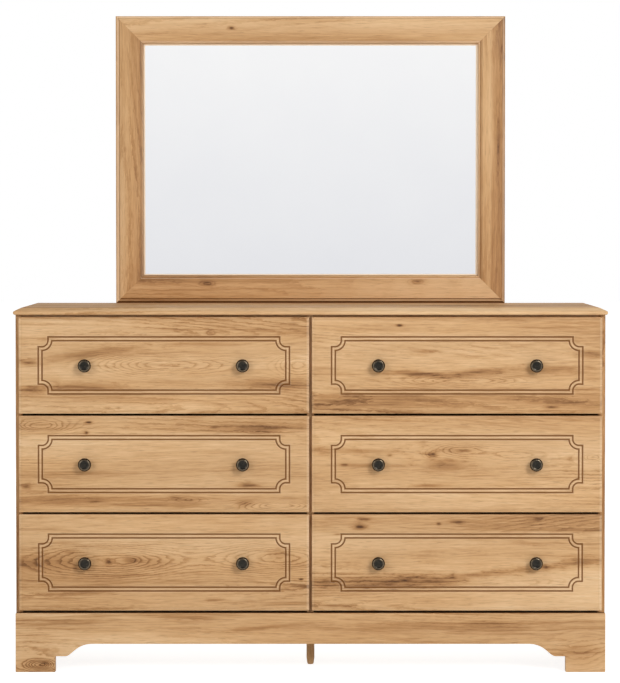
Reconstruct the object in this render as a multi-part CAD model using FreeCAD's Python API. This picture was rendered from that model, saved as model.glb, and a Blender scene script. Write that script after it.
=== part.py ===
import FreeCAD, Part
import math
import os

# Six-drawer double dresser in laminated boards, with a mitred framed mirror standing on its top.
# Millimetres. X runs to the right, Y to the back and Z up, so the drawers open towards -Y.
# The origin lies on the floor, in the middle of the whole outline, knobs and mirror supports included.

VEC = FreeCAD.Vector

# Top panel, with a bevel and a rounded nose on its front and side edges
TOP_WIDTH = 1500.0
TOP_DEPTH = 400.0
TOP_THICKNESS = 18.0
TOP_FRONT_OVERHANG = 8.0
TOP_SIDE_OVERHANG = 3.7
NOSE_RADIUS = 5.5
NOSE_HEIGHT = 5.0
EDGE_BEVEL_ANGLE = 26.0

# Carcass boards
CASE_HEIGHT = 905.0
SIDE_THICKNESS = 18.0
DIVIDER_THICKNESS = 18.0
BOTTOM_THICKNESS = 18.0
BACK_THICKNESS = 3.0
RAIL_THICKNESS = 15.0
FRONT_RAIL_HEIGHT = 45.0
REAR_TOP_RAIL_HEIGHT = 100.0
REAR_MIDDLE_RAIL_HEIGHT = 60.0

# Plinth board with bracket feet: each foot steps in at a ledge and rises in an ogee to a low arch
PLINTH_HEIGHT = 149.6
PLINTH_THICKNESS = 18.0
FOOT_WIDTH = 100.5
LEDGE_HEIGHT = 40.0
LEDGE_WIDTH = 25.0
ARCH_HEIGHT = 71.5
OGEE_RUN = 67.5
OGEE_FOOT_HANDLE = 16.0
OGEE_ARCH_HANDLE = 40.0
BLOCK_SIZE = 28.0
BLOCK_LIFT = 5.0

# Turned centre leg under the bottom panel, tapered towards its foot
LEG_DIAMETER = 20.4
LEG_FOOT_DIAMETER = 16.6
LEG_TAPER_HEIGHT = 16.0
LEG_SETBACK = 120.0

# Drawer fronts and the gaps round them
ROW_NAMES = ("bottom", "middle", "top")
SIDE_NAMES = {"left": -1, "right": 1}
FRONT_THICKNESS = 18.0
TOP_GAP = 6.0
ROW_GAP = 5.6
PLINTH_GAP = 6.4
CENTRE_GAP = 6.8
SIDE_REVEAL = 9.5
CLOSING_GAP = 0.5
FRONT_BEVEL_RUN = 7.0
FRONT_BEVEL_DEPTH = 1.2

# Twin routed grooves with scooped corners on each drawer front
MOULDING_WIDTH = 634.0
MOULDING_HEIGHT = 144.0
GROOVE_WIDTH = 3.2
GROOVE_DEPTH = 1.8
GROOVE_SPACING = 9.5
SCOOP_RADIUS = 15.8
SCOOP_SHOULDER = 8.9

# Drawer boxes
BOX_HEIGHT = 170.0
BOX_LIFT = 20.0
BOX_SIDE_THICKNESS = 12.0
BOX_BACK_THICKNESS = 12.0
BOX_REAR_CLEARANCE = 6.0
BOX_BOTTOM_THICKNESS = 3.0
BOX_BOTTOM_LIFT = 10.0
SLOT_DEPTH = 6.0
SLOT_CLEARANCE = 0.3

# Steel side runners: a hat section on the drawer slides inside a lipped channel on the case
RUNNER_DEPTH = 12.7
RUNNER_HEIGHT = 45.0
RUNNER_LENGTH = 340.0
RUNNER_SETBACK = 4.0
RUNNER_SHEET = 1.2
RUNNER_CLEARANCE = 0.3
RUNNER_LIP = 6.0
RUNNER_HAT_HEIGHT = 28.0

# Round knobs
KNOB_SPACING = 398.0
KNOB_DIAMETER = 33.5
KNOB_LENGTH = 25.0
KNOB_NECK_DIAMETER = 14.0
KNOB_HEAD_THICKNESS = 9.0
KNOB_BEVEL = 1.75
KNOB_RING_WIDTH = 1.4
KNOB_DISH_DEPTH = 1.5

# Mirror frame: a mitred moulding with a lower outer strip, a crowned face and a bead at the glass
MIRROR_WIDTH = 1037.0
MIRROR_HEIGHT = 764.0
FRAME_WIDTH = 74.5
FRAME_THICKNESS = 30.0
FRAME_STRIP_WIDTH = 8.0
FRAME_STRIP_DROP = 8.0
FRAME_CROWN = 4.0
FRAME_BEAD_WIDTH = 7.3
FRAME_BEAD_HEIGHT = 3.0
FRAME_GROOVE_WIDTH = 1.6
FRAME_GROOVE_DEPTH = 2.0
REBATE_WIDTH = 10.0
REBATE_DEPTH = 11.0
GLASS_THICKNESS = 4.0
GLASS_CLEARANCE = 1.0
BACKBOARD_THICKNESS = 3.0

# Upright boards behind the dresser and the mirror
SUPPORT_WIDTH = 60.0
SUPPORT_THICKNESS = 18.0
SUPPORT_BOTTOM = 560.0
SUPPORT_ABOVE_TOP = 640.0

# Planes that the pieces share
OVERALL_DEPTH = KNOB_LENGTH + TOP_DEPTH - TOP_FRONT_OVERHANG + SUPPORT_THICKNESS
FRONT_Y = KNOB_LENGTH - OVERALL_DEPTH / 2
FRONT_BACK_Y = FRONT_Y + FRONT_THICKNESS
CASE_FRONT_Y = FRONT_BACK_Y + CLOSING_GAP
TOP_FRONT_Y = FRONT_Y - TOP_FRONT_OVERHANG
BACK_Y = TOP_FRONT_Y + TOP_DEPTH
CASE_BACK_Y = BACK_Y - BACK_THICKNESS
RAIL_FRONT_Y = CASE_BACK_Y - RAIL_THICKNESS
CASE_HALF = TOP_WIDTH / 2 - TOP_SIDE_OVERHANG
SIDE_INNER = CASE_HALF - SIDE_THICKNESS
DIVIDER_HALF = DIVIDER_THICKNESS / 2
TOP_Z = CASE_HEIGHT + TOP_THICKNESS
BOTTOM_Z = PLINTH_HEIGHT - BOTTOM_THICKNESS

# Drawers
FRONT_WIDTH = CASE_HALF - SIDE_REVEAL - CENTRE_GAP / 2
FRONT_CENTRE = (CENTRE_GAP + FRONT_WIDTH) / 2
FRONTS_HEIGHT = CASE_HEIGHT - TOP_GAP - PLINTH_HEIGHT - PLINTH_GAP
FRONT_HEIGHT = (FRONTS_HEIGHT - (len(ROW_NAMES) - 1) * ROW_GAP) / len(ROW_NAMES)
BOX_OUTER_LOW = DIVIDER_HALF + RUNNER_DEPTH
BOX_OUTER_HIGH = SIDE_INNER - RUNNER_DEPTH
BOX_BACK_Y = RAIL_FRONT_Y - BOX_REAR_CLEARANCE
RUNNER_Y = CASE_FRONT_Y + RUNNER_SETBACK

# Mirror
SIGHT_WIDTH = MIRROR_WIDTH - 2 * FRAME_WIDTH
SIGHT_HEIGHT = MIRROR_HEIGHT - 2 * FRAME_WIDTH
MIRROR_CENTRE_Z = TOP_Z + MIRROR_HEIGHT / 2


def box(x_range, y_range, z_range):
    """A board between two planes in each direction."""
    corner = VEC(x_range[0], y_range[0], z_range[0])
    return Part.makeBox(
        x_range[1] - x_range[0], y_range[1] - y_range[0], z_range[1] - z_range[0], corner
    )


def mirrored(x_range, sign):
    """The same span on the right (sign 1) or on the left (sign -1)."""
    return tuple(sorted(sign * value for value in x_range))


def outline(points):
    """A closed wire through points. A triple of points stands for an arc from the last point."""
    edges = []
    start = points[0]
    for item in points[1:] + [points[0]]:
        if isinstance(item, tuple):
            middle, end = item
            edges.append(Part.Arc(start, middle, end).toShape())
        else:
            end = item
            edges.append(Part.makeLine(start, end))
        start = end
    return Part.Wire(edges)


def prism(points, direction):
    """A closed outline carried along a direction."""
    return Part.Face(outline(points)).extrude(direction)


def save(name, solids):
    """Write one node, as one solid or as a group of separate solids."""
    shape = solids[0] if len(solids) == 1 else Part.makeCompound(solids)
    shape.exportStep(os.path.join("parts", name + ".step"))


def top_edge():
    """The moulded edge as (inset, height) points: underside, nose, end of nose, end of bevel."""
    angle = math.radians(EDGE_BEVEL_ANGLE)
    under = (NOSE_RADIUS - math.sqrt(NOSE_RADIUS**2 - NOSE_HEIGHT**2), 0.0)
    nose = (0.0, NOSE_HEIGHT)
    turn = (NOSE_RADIUS * (1 - math.sin(angle)), NOSE_HEIGHT + NOSE_RADIUS * math.cos(angle))
    flat = (turn[0] + (TOP_THICKNESS - turn[1]) / math.tan(angle), TOP_THICKNESS)
    return under, nose, turn, flat


def top_panel():
    """Where the front section meets the two side sections, their bevels meet in mitres."""

    def front(point):
        return VEC(-TOP_WIDTH / 2, TOP_FRONT_Y + point[0], CASE_HEIGHT + point[1])

    def left(point):
        return VEC(-TOP_WIDTH / 2 + point[0], TOP_FRONT_Y, CASE_HEIGHT + point[1])

    def right(point):
        return VEC(TOP_WIDTH / 2 - point[0], TOP_FRONT_Y, CASE_HEIGHT + point[1])

    under, nose, turn, flat = top_edge()
    back_top = (TOP_DEPTH, TOP_THICKNESS)
    back_under = (TOP_DEPTH, 0.0)
    lengthwise = prism(
        [front(under), (front(nose), front(turn)), front(flat), front(back_top), front(back_under)],
        VEC(TOP_WIDTH, 0, 0),
    )
    crosswise = prism(
        [left(under), (left(nose), left(turn)), left(flat), right(flat), right(turn),
         (right(nose), right(under))],
        VEC(0, TOP_DEPTH, 0),
    )
    return lengthwise.common(crosswise)


def plinth():
    """The bracket-footed board, with an S curve from each ledge up to the arch."""
    face_y = CASE_FRONT_Y - PLINTH_THICKNESS

    def point(x, z):
        return VEC(x, face_y, z)

    def ogee(sign):
        foot = (-sign * (CASE_HALF - FOOT_WIDTH - LEDGE_WIDTH), LEDGE_HEIGHT)
        arch = (foot[0] + sign * OGEE_RUN, ARCH_HEIGHT)
        curve = Part.BezierCurve()
        curve.setPoles([
            point(*foot),
            point(foot[0] + sign * OGEE_FOOT_HANDLE, foot[1]),
            point(arch[0] - sign * OGEE_ARCH_HANDLE, arch[1]),
            point(*arch),
        ])
        return curve.toShape()

    def foot_lines(sign):
        outer = -sign * CASE_HALF
        inner = -sign * (CASE_HALF - FOOT_WIDTH)
        ledge_end = inner + sign * LEDGE_WIDTH
        corners = [point(outer, PLINTH_HEIGHT), point(outer, 0), point(inner, 0),
                   point(inner, LEDGE_HEIGHT), point(ledge_end, LEDGE_HEIGHT)]
        return [Part.makeLine(a, b) for a, b in zip(corners, corners[1:])]

    arch_end = CASE_HALF - FOOT_WIDTH - LEDGE_WIDTH - OGEE_RUN
    edges = foot_lines(1) + [ogee(1), ogee(-1)] + foot_lines(-1)
    edges.append(Part.makeLine(point(-arch_end, ARCH_HEIGHT), point(arch_end, ARCH_HEIGHT)))
    edges.append(Part.makeLine(point(-CASE_HALF, PLINTH_HEIGHT), point(CASE_HALF, PLINTH_HEIGHT)))
    wire = Part.Wire(Part.__sortEdges__(edges))
    return Part.Face(wire).extrude(VEC(0, PLINTH_THICKNESS, 0))


def corner_block(sign):
    """A triangular block in the corner between the plinth and a side, under the bottom panel."""
    inner = sign * SIDE_INNER
    points = [
        VEC(inner, CASE_FRONT_Y, BLOCK_LIFT),
        VEC(inner - sign * BLOCK_SIZE, CASE_FRONT_Y, BLOCK_LIFT),
        VEC(inner, CASE_FRONT_Y + BLOCK_SIZE, BLOCK_LIFT),
    ]
    return prism(points, VEC(0, 0, BOTTOM_Z - BLOCK_LIFT))


def centre_leg():
    """A round leg with a tapered lower end."""
    y = CASE_FRONT_Y - PLINTH_THICKNESS + LEG_SETBACK
    section = [
        VEC(0, y, 0),
        VEC(LEG_FOOT_DIAMETER / 2, y, 0),
        VEC(LEG_DIAMETER / 2, y, LEG_TAPER_HEIGHT),
        VEC(LEG_DIAMETER / 2, y, BOTTOM_Z),
        VEC(0, y, BOTTOM_Z),
    ]
    return Part.Face(outline(section)).revolve(VEC(0, y, 0), VEC(0, 0, 1), 360)


def bay(sign):
    """The clear width between the divider and a side."""
    return mirrored((DIVIDER_HALF, SIDE_INNER), sign)


def rails(y_range, z_range):
    """One rail in each bay."""
    return [box(bay(sign), y_range, z_range) for sign in SIDE_NAMES.values()]


def front_floor(row):
    """The height of a drawer front's lower edge, counted from the bottom row."""
    return PLINTH_HEIGHT + PLINTH_GAP + row * (FRONT_HEIGHT + ROW_GAP)


def scooped_path(inset):
    """The moulding's outline, this far inside its outermost groove, centred on the drawer front.

    Each corner is a round scoop about a centre inside the corner. On the outer groove a short
    shoulder joins the scoop to each side, and further in the scoop reaches the sides itself.
    """
    half_width = MOULDING_WIDTH / 2 - inset
    half_height = MOULDING_HEIGHT / 2 - inset
    radius = SCOOP_RADIUS + inset
    shoulder = SCOOP_SHOULDER - inset
    diagonal = shoulder + radius * math.sqrt(0.5)
    turns = (((1, -1), (-1, 0), (0, 1)), ((1, 1), (0, -1), (-1, 0)),
             ((-1, 1), (1, 0), (0, -1)), ((-1, -1), (0, 1), (1, 0)))
    points = [VEC(0, FRONT_Y, -half_height)]
    for corner, back, onward in turns:

        def place(along_back, along_onward):
            x = corner[0] * half_width + back[0] * along_back + onward[0] * along_onward
            z = corner[1] * half_height + back[1] * along_back + onward[1] * along_onward
            return VEC(x, FRONT_Y, z)

        if shoulder > 0:
            reach = shoulder + radius
            points += [place(reach, 0), place(reach, shoulder)]
            points += [(place(diagonal, diagonal), place(shoulder, reach)), place(0, reach)]
        else:
            reach = shoulder + math.sqrt(radius**2 - shoulder**2)
            points += [place(reach, 0), (place(diagonal, diagonal), place(0, reach))]
    return outline(points), half_height


def groove(inset):
    """The cutter's track round the moulding's outline, a little proud of the face for the cut."""
    path, half_height = scooped_path(inset)
    low = -half_height - GROOVE_WIDTH / 2
    high = -half_height + GROOVE_WIDTH / 2
    section = outline([
        VEC(0, FRONT_Y - GROOVE_DEPTH, low),
        VEC(0, FRONT_Y + GROOVE_DEPTH, low),
        VEC(0, FRONT_Y + GROOVE_DEPTH, high),
        VEC(0, FRONT_Y - GROOVE_DEPTH, high),
    ])
    right_corners = 1
    return path.makePipeShell([section], True, False, right_corners)


def bevelled_section(half):
    """Half of a drawer front's section: (across, inward) points from its face to its back."""
    return [(half - FRONT_BEVEL_RUN, 0), (half, FRONT_BEVEL_DEPTH), (half, FRONT_THICKNESS)]


def moulded_board():
    """A drawer front's board about its own centre, with bevelled edges and twin grooves."""
    across = bevelled_section(FRONT_WIDTH / 2)
    upright = bevelled_section(FRONT_HEIGHT / 2)
    tall = prism(
        [VEC(x, FRONT_Y + y, -FRONT_HEIGHT / 2) for x, y in across]
        + [VEC(-x, FRONT_Y + y, -FRONT_HEIGHT / 2) for x, y in reversed(across)],
        VEC(0, 0, FRONT_HEIGHT),
    )
    wide = prism(
        [VEC(-FRONT_WIDTH / 2, FRONT_Y + y, z) for z, y in upright]
        + [VEC(-FRONT_WIDTH / 2, FRONT_Y + y, -z) for z, y in reversed(upright)],
        VEC(FRONT_WIDTH, 0, 0),
    )
    board = tall.common(wide)
    return board.cut(groove(0)).cut(groove(GROOVE_SPACING)).removeSplitter()


def knob_places(centre_x, centre_z):
    """Where the two knobs of a drawer sit on its front."""
    return [VEC(centre_x + side * KNOB_SPACING / 2, FRONT_Y, centre_z) for side in (-1, 1)]


def knob():
    """A round knob on the Y axis: a neck and a disc with a bevelled rim and a shallow dish."""
    neck = KNOB_NECK_DIAMETER / 2
    rim = KNOB_DIAMETER / 2
    dish_edge = rim - KNOB_BEVEL - KNOB_RING_WIDTH
    dish = KNOB_LENGTH - KNOB_DISH_DEPTH
    section = [
        VEC(0, 0, 0),
        VEC(neck, 0, 0),
        VEC(neck, KNOB_HEAD_THICKNESS - KNOB_LENGTH, 0),
        VEC(rim, KNOB_HEAD_THICKNESS - KNOB_LENGTH, 0),
        VEC(rim, KNOB_BEVEL - KNOB_LENGTH, 0),
        VEC(rim - KNOB_BEVEL, -KNOB_LENGTH, 0),
        VEC(dish_edge, -dish, 0),
        VEC(0, -dish, 0),
    ]
    return Part.Face(outline(section)).revolve(VEC(0, 0, 0), VEC(0, 1, 0), 360)


def drawer_runner(outer_x, sign, centre_z):
    """The hat section fixed to a drawer's side, sign pointing from the drawer to the case."""
    near = outer_x
    far = outer_x + sign * (RUNNER_DEPTH - RUNNER_SHEET - RUNNER_CLEARANCE)
    hat = RUNNER_HAT_HEIGHT / 2
    brim = RUNNER_HEIGHT / 2 - RUNNER_SHEET - RUNNER_CLEARANCE
    sheet = sign * RUNNER_SHEET

    def point(x, z):
        return VEC(x, RUNNER_Y, centre_z + z)

    upper = [(near, hat), (far - sheet, hat), (far - sheet, brim), (far, brim),
             (far, hat - RUNNER_SHEET), (near + sheet, hat - RUNNER_SHEET)]
    lower = [(x, -z) for x, z in reversed(upper)]
    return prism([point(*pair) for pair in upper + lower], VEC(0, RUNNER_LENGTH, 0))


def case_runner(case_x, sign, centre_z):
    """The lipped channel fixed to the case, sign pointing from the case to the drawer."""
    sheet = sign * RUNNER_SHEET
    depth = sign * 2 * (RUNNER_SHEET + RUNNER_CLEARANCE) + sheet
    half = RUNNER_HEIGHT / 2
    lip = half - RUNNER_LIP

    def point(x, z):
        return VEC(case_x + x, RUNNER_Y, centre_z + z)

    upper = [(0, half), (depth, half), (depth, lip), (depth - sheet, lip),
             (depth - sheet, half - RUNNER_SHEET), (sheet, half - RUNNER_SHEET)]
    lower = [(x, -z) for x, z in reversed(upper)]
    return prism([point(*pair) for pair in upper + lower], VEC(0, RUNNER_LENGTH, 0))


def runner_height(row):
    """Runners sit at mid height of the drawer box."""
    return front_floor(row) + BOX_LIFT + BOX_HEIGHT / 2


def drawer(row, side):
    """The pieces of one drawer, as a dictionary from piece name to solids."""
    sign = SIDE_NAMES[side]
    floor_z = front_floor(row)
    centre_x = sign * FRONT_CENTRE
    centre_z = floor_z + FRONT_HEIGHT / 2
    outer = mirrored((BOX_OUTER_LOW, BOX_OUTER_HIGH), sign)
    inner = (outer[0] + BOX_SIDE_THICKNESS, outer[1] - BOX_SIDE_THICKNESS)
    box_z = (floor_z + BOX_LIFT, floor_z + BOX_LIFT + BOX_HEIGHT)
    back_y = (BOX_BACK_Y - BOX_BACK_THICKNESS, BOX_BACK_Y)

    slot_floor = box_z[0] + BOX_BOTTOM_LIFT
    slot = box(
        (inner[0] - SLOT_DEPTH, inner[1] + SLOT_DEPTH),
        (FRONT_BACK_Y - SLOT_DEPTH, back_y[0] + SLOT_DEPTH),
        (slot_floor, slot_floor + BOX_BOTTOM_THICKNESS + SLOT_CLEARANCE),
    )
    tongue = SLOT_DEPTH - SLOT_CLEARANCE
    bottom = box(
        (inner[0] - tongue, inner[1] + tongue),
        (FRONT_BACK_Y - tongue, back_y[0] + tongue),
        (slot_floor, slot_floor + BOX_BOTTOM_THICKNESS),
    )

    front = moulded_board()
    front.translate(VEC(centre_x, 0, centre_z))
    front = front.cut(slot)
    knobs = []
    for place in knob_places(centre_x, centre_z):
        piece = knob()
        piece.translate(place)
        knobs.append(piece)

    side_boards = [
        box((outer[0], inner[0]), (FRONT_BACK_Y, BOX_BACK_Y), box_z).cut(slot),
        box((inner[1], outer[1]), (FRONT_BACK_Y, BOX_BACK_Y), box_z).cut(slot),
    ]
    runner_z = runner_height(row)
    return {
        "front": [front],
        "sides": side_boards,
        "back": [box(inner, back_y, box_z).cut(slot)],
        "bottom": [bottom],
        "knobs": knobs,
        "runners": [drawer_runner(outer[0], -1, runner_z), drawer_runner(outer[1], 1, runner_z)],
    }


def row_runners(row):
    """The four case runners of one row."""
    height = runner_height(row)
    channels = []
    for sign in SIDE_NAMES.values():
        low, high = bay(sign)
        channels += [case_runner(low, 1, height), case_runner(high, -1, height)]
    return channels


def frame_section():
    """The frame moulding as (inset, forward) points, measured from its outer back corner."""
    face = FRAME_THICKNESS - FRAME_CROWN
    strip = FRAME_THICKNESS - FRAME_STRIP_DROP
    bead_start = FRAME_WIDTH - FRAME_BEAD_WIDTH
    face_end = bead_start - FRAME_GROOVE_WIDTH
    valley = face - FRAME_GROOVE_DEPTH
    return [
        (0, 0),
        (0, strip),
        (FRAME_STRIP_WIDTH, strip),
        (FRAME_STRIP_WIDTH, face),
        (((FRAME_STRIP_WIDTH + face_end) / 2, FRAME_THICKNESS), (face_end, face)),
        (face_end, valley),
        (bead_start, valley),
        ((bead_start + FRAME_BEAD_WIDTH / 2, valley + FRAME_BEAD_HEIGHT), (FRAME_WIDTH, valley)),
        (FRAME_WIDTH, REBATE_DEPTH),
        (FRAME_WIDTH - REBATE_WIDTH, REBATE_DEPTH),
        (FRAME_WIDTH - REBATE_WIDTH, 0),
    ]


def frame_rail(length, height, angle):
    """One mitred rail: its outer edge is this long and lies this high above the mirror's centre.

    It is made as the upper rail and turned about the mirror's centre.
    """

    def place(inset, forward):
        return VEC(-length / 2, BACK_Y - forward, height - inset)

    points = []
    for item in frame_section():
        if isinstance(item[0], tuple):
            points.append(tuple(place(*pair) for pair in item))
        else:
            points.append(place(*item))
    moulding = prism(points, VEC(length, 0, 0))
    mitres = prism(
        [
            VEC(-length / 2, BACK_Y, height),
            VEC(length / 2, BACK_Y, height),
            VEC(length / 2 - FRAME_WIDTH, BACK_Y, height - FRAME_WIDTH),
            VEC(-length / 2 + FRAME_WIDTH, BACK_Y, height - FRAME_WIDTH),
        ],
        VEC(0, -FRAME_THICKNESS, 0),
    )
    rail = moulding.common(mitres)
    rail.rotate(VEC(0, 0, 0), VEC(0, 1, 0), angle)
    rail.translate(VEC(0, 0, MIRROR_CENTRE_Z))
    return rail


def mirror_sheet(thickness, front_depth):
    """A sheet in the frame's rebate, its face this far in front of the frame's back."""
    half_width = SIGHT_WIDTH / 2 + REBATE_WIDTH - GLASS_CLEARANCE
    half_height = SIGHT_HEIGHT / 2 + REBATE_WIDTH - GLASS_CLEARANCE
    return box(
        (-half_width, half_width),
        (BACK_Y - front_depth, BACK_Y - front_depth + thickness),
        (MIRROR_CENTRE_Z - half_height, MIRROR_CENTRE_Z + half_height),
    )


def mirror_support(sign):
    """An upright board behind one stile of the mirror."""
    centre = sign * (MIRROR_WIDTH - FRAME_WIDTH) / 2
    return box(
        (centre - SUPPORT_WIDTH / 2, centre + SUPPORT_WIDTH / 2),
        (BACK_Y, BACK_Y + SUPPORT_THICKNESS),
        (SUPPORT_BOTTOM, TOP_Z + SUPPORT_ABOVE_TOP),
    )


def save_case():
    """The carcass: the boards, rails, plinth, leg and the fixed runner members."""
    depth = (CASE_FRONT_Y, CASE_BACK_Y)
    save("top_panel", [top_panel()])
    for side, sign in SIDE_NAMES.items():
        board = box(mirrored((SIDE_INNER, CASE_HALF), sign), depth, (0, CASE_HEIGHT))
        save(side + "_side_panel", [board])
    divider = box((-DIVIDER_HALF, DIVIDER_HALF), depth, (PLINTH_HEIGHT, CASE_HEIGHT))
    save("centre_divider", [divider])
    save("bottom_panel", [box((-SIDE_INNER, SIDE_INNER), depth, (BOTTOM_Z, PLINTH_HEIGHT))])
    back = box((-CASE_HALF, CASE_HALF), (CASE_BACK_Y, BACK_Y), (BOTTOM_Z, CASE_HEIGHT))
    save("back_panel", [back])
    save("front_plinth", [plinth()])
    save("plinth_corner_blocks", [corner_block(sign) for sign in SIDE_NAMES.values()])
    save("centre_leg", [centre_leg()])

    front_rail_y = (CASE_FRONT_Y, CASE_FRONT_Y + RAIL_THICKNESS)
    rear_rail_y = (RAIL_FRONT_Y, CASE_BACK_Y)
    save("front_top_rails", rails(front_rail_y, (CASE_HEIGHT - FRONT_RAIL_HEIGHT, CASE_HEIGHT)))
    save("rear_top_rails", rails(rear_rail_y, (CASE_HEIGHT - REAR_TOP_RAIL_HEIGHT, CASE_HEIGHT)))
    middle_z = (SUPPORT_BOTTOM, SUPPORT_BOTTOM + REAR_MIDDLE_RAIL_HEIGHT)
    save("rear_middle_rails", rails(rear_rail_y, middle_z))
    for row, row_name in enumerate(ROW_NAMES):
        save("case_runners_" + row_name, row_runners(row))


def save_drawers():
    """Six alike drawers, three rows on each side of the divider."""
    for row, row_name in enumerate(ROW_NAMES):
        for side in SIDE_NAMES:
            for piece, solids in drawer(row, side).items():
                save("_".join(("drawer", piece, row_name, side)), solids)


def save_mirror():
    """The framed mirror and the boards that hold it up."""
    half_width = MIRROR_WIDTH / 2
    half_height = MIRROR_HEIGHT / 2
    save("mirror_top_rail", [frame_rail(MIRROR_WIDTH, half_height, 0)])
    save("mirror_right_stile", [frame_rail(MIRROR_HEIGHT, half_width, 90)])
    save("mirror_bottom_rail", [frame_rail(MIRROR_WIDTH, half_height, 180)])
    save("mirror_left_stile", [frame_rail(MIRROR_HEIGHT, half_width, 270)])
    save("mirror_glass", [mirror_sheet(GLASS_THICKNESS, REBATE_DEPTH)])
    save("mirror_backboard", [mirror_sheet(BACKBOARD_THICKNESS, REBATE_DEPTH - GLASS_THICKNESS)])
    for side, sign in SIDE_NAMES.items():
        save("mirror_support_" + side, [mirror_support(sign)])


os.makedirs("parts", exist_ok=True)
save_case()
save_drawers()
save_mirror()
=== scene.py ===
"""Looks of a six-drawer dresser with a mirror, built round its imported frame.

Each sub-assembly is a class that holds its sizes, builds its meshes and dresses them. Each finish is a
frozen dataclass that makes one node material. Lengths are in metres, in the frame of the solid model: the
fronts face -Y, +X is to the right and the floor is z = 0.
"""

from __future__ import annotations

import logging
import math
from dataclasses import astuple, dataclass
from enum import Enum
from functools import reduce
from typing import Callable, Optional, Sequence, Union

import bpy
import numpy as np
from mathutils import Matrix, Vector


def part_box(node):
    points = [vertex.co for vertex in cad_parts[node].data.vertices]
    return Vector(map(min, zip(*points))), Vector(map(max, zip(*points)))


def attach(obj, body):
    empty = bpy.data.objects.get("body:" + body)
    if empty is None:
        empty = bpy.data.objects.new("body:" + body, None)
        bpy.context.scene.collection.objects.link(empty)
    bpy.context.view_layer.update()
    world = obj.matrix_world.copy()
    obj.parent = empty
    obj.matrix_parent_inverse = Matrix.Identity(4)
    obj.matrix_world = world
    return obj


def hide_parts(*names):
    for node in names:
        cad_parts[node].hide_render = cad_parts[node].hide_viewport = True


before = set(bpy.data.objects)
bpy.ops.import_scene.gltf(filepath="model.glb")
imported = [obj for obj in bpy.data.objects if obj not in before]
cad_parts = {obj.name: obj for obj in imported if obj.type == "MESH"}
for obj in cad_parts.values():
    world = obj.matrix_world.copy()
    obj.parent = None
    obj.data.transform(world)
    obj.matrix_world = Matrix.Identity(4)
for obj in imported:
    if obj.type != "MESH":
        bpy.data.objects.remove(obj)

LOG = logging.getLogger("dresser")
ROWS = ("top", "middle", "bottom")
HANDS = ("left", "right")
MM = 0.001
RIGHT_ANGLE = math.pi / 2

Array = np.ndarray
Socket = bpy.types.NodeSocket
Feed = Union[Socket, float, Sequence[float], None]
Rows = Sequence[Sequence[float]]


# ---------------------------------------------------------------- surfaces


def spots(x: Array, y: Array, z: Array) -> Array:
    """Points of three arrays of coordinates that are spread to one shape."""
    return np.stack(np.broadcast_arrays(x, y, z), axis=-1)


def corners(node: str) -> tuple[Array, Array]:
    """Lowest and highest corner of a solid node at rest."""
    low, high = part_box(node)
    return np.array(low), np.array(high)


def linked(name: str, data: bpy.types.ID) -> bpy.types.Object:
    """Makes an object of some data and links it to the scene.

    Args:
        name: the object's name.
        data: its mesh, lamp or camera.

    Returns:
        The object.
    """
    made = bpy.data.objects.new(name, data)
    bpy.context.scene.collection.objects.link(made)
    return made


@dataclass
class Shell:
    """A closed skin.

    Attributes:
        points: its points.
        faces: its faces, in groups of equal length.
        recess: painted light at each point, painted shade above 0 and painted highlight below 0; on the knobs
            the darker dish and the rubbed crest.
    """

    points: Array
    faces: list[Array]
    recess: Optional[Array] = None

    def depths(self) -> Array:
        """The recess of every point, 0 where none was given."""
        return np.zeros(len(self.points)) if self.recess is None else self.recess

    def joined(self, other: "Shell") -> "Shell":
        """One shell of two that don't touch, with the points and faces of both.

        Args:
            other: the second shell.

        Returns:
            The joint shell.
        """
        faces = self.faces + [group + len(self.points) for group in other.faces]
        recess = np.concatenate([self.depths(), other.depths()])
        return Shell(np.vstack([self.points, other.points]), faces, recess)

    def areas(self) -> list[Array]:
        """Area vectors of each group's faces: half the sum of the cross products of neighbouring corners."""
        fans = [self.points[group] - self.points[group[:, :1]] for group in self.faces]
        return [0.5 * np.cross(fan, np.roll(fan, -1, axis=1)).sum(axis=1) for fan in fans]

    def face_outwards(self) -> None:
        """Turns all faces over if the volume that they enclose, told by their area vectors, is negative."""
        centre = self.points.mean(axis=0)
        pairs = zip(self.faces, self.areas())
        if sum(np.einsum("ij,ij->", self.points[group[:, 0]] - centre, area) for group, area in pairs) < 0:
            self.faces = [group[:, ::-1] for group in self.faces]

    def normals(self) -> Array:
        """Normals at the points.

        Formula: the area vectors of the faces round a point are added up and made unit length.

        Returns:
            Unit vectors, shape (points, 3).
        """
        total = np.zeros_like(self.points)
        for group, area in zip(self.faces, self.areas()):
            np.add.at(total, group.ravel(), np.repeat(area, group.shape[1], axis=0))
        return total / np.maximum(np.linalg.norm(total, axis=1, keepdims=True), 1e-20)

    def to_object(self, name: str) -> bpy.types.Object:
        """Puts the shell into a mesh object at the origin.

        Args:
            name: the object's name.

        Returns:
            The object, linked to the scene.
        """
        self.face_outwards()
        mesh = bpy.data.meshes.new(name)
        mesh.from_pydata(self.points.tolist(), [], [face for group in self.faces for face in group.tolist()])
        mesh.polygons.foreach_set("use_smooth", np.ones(len(mesh.polygons), bool))
        recess = mesh.attributes.new("recess", "FLOAT", "POINT")
        recess.data.foreach_set("value", self.depths().astype(np.float32))
        mesh.normals_split_custom_set_from_vertices(self.normals().tolist())
        return linked(name, mesh)


def skin(count: int, around: int) -> tuple[Array, Array, Array]:
    """Joins a stack of closed loops of points.

    Formula: point j of loop k joins point j + 1 of the same loop and both points of loop k + 1.

    Args:
        count: number of loops.
        around: points on each loop.

    Returns:
        The number of each point, that of the next point round its loop, and the four-cornered faces.
    """
    index = np.arange(count * around).reshape(count, around)
    onward = np.roll(index, -1, axis=1)
    return index, onward, np.stack([index[:-1], onward[:-1], onward[1:], index[1:]], axis=-1).reshape(-1, 4)


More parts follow.
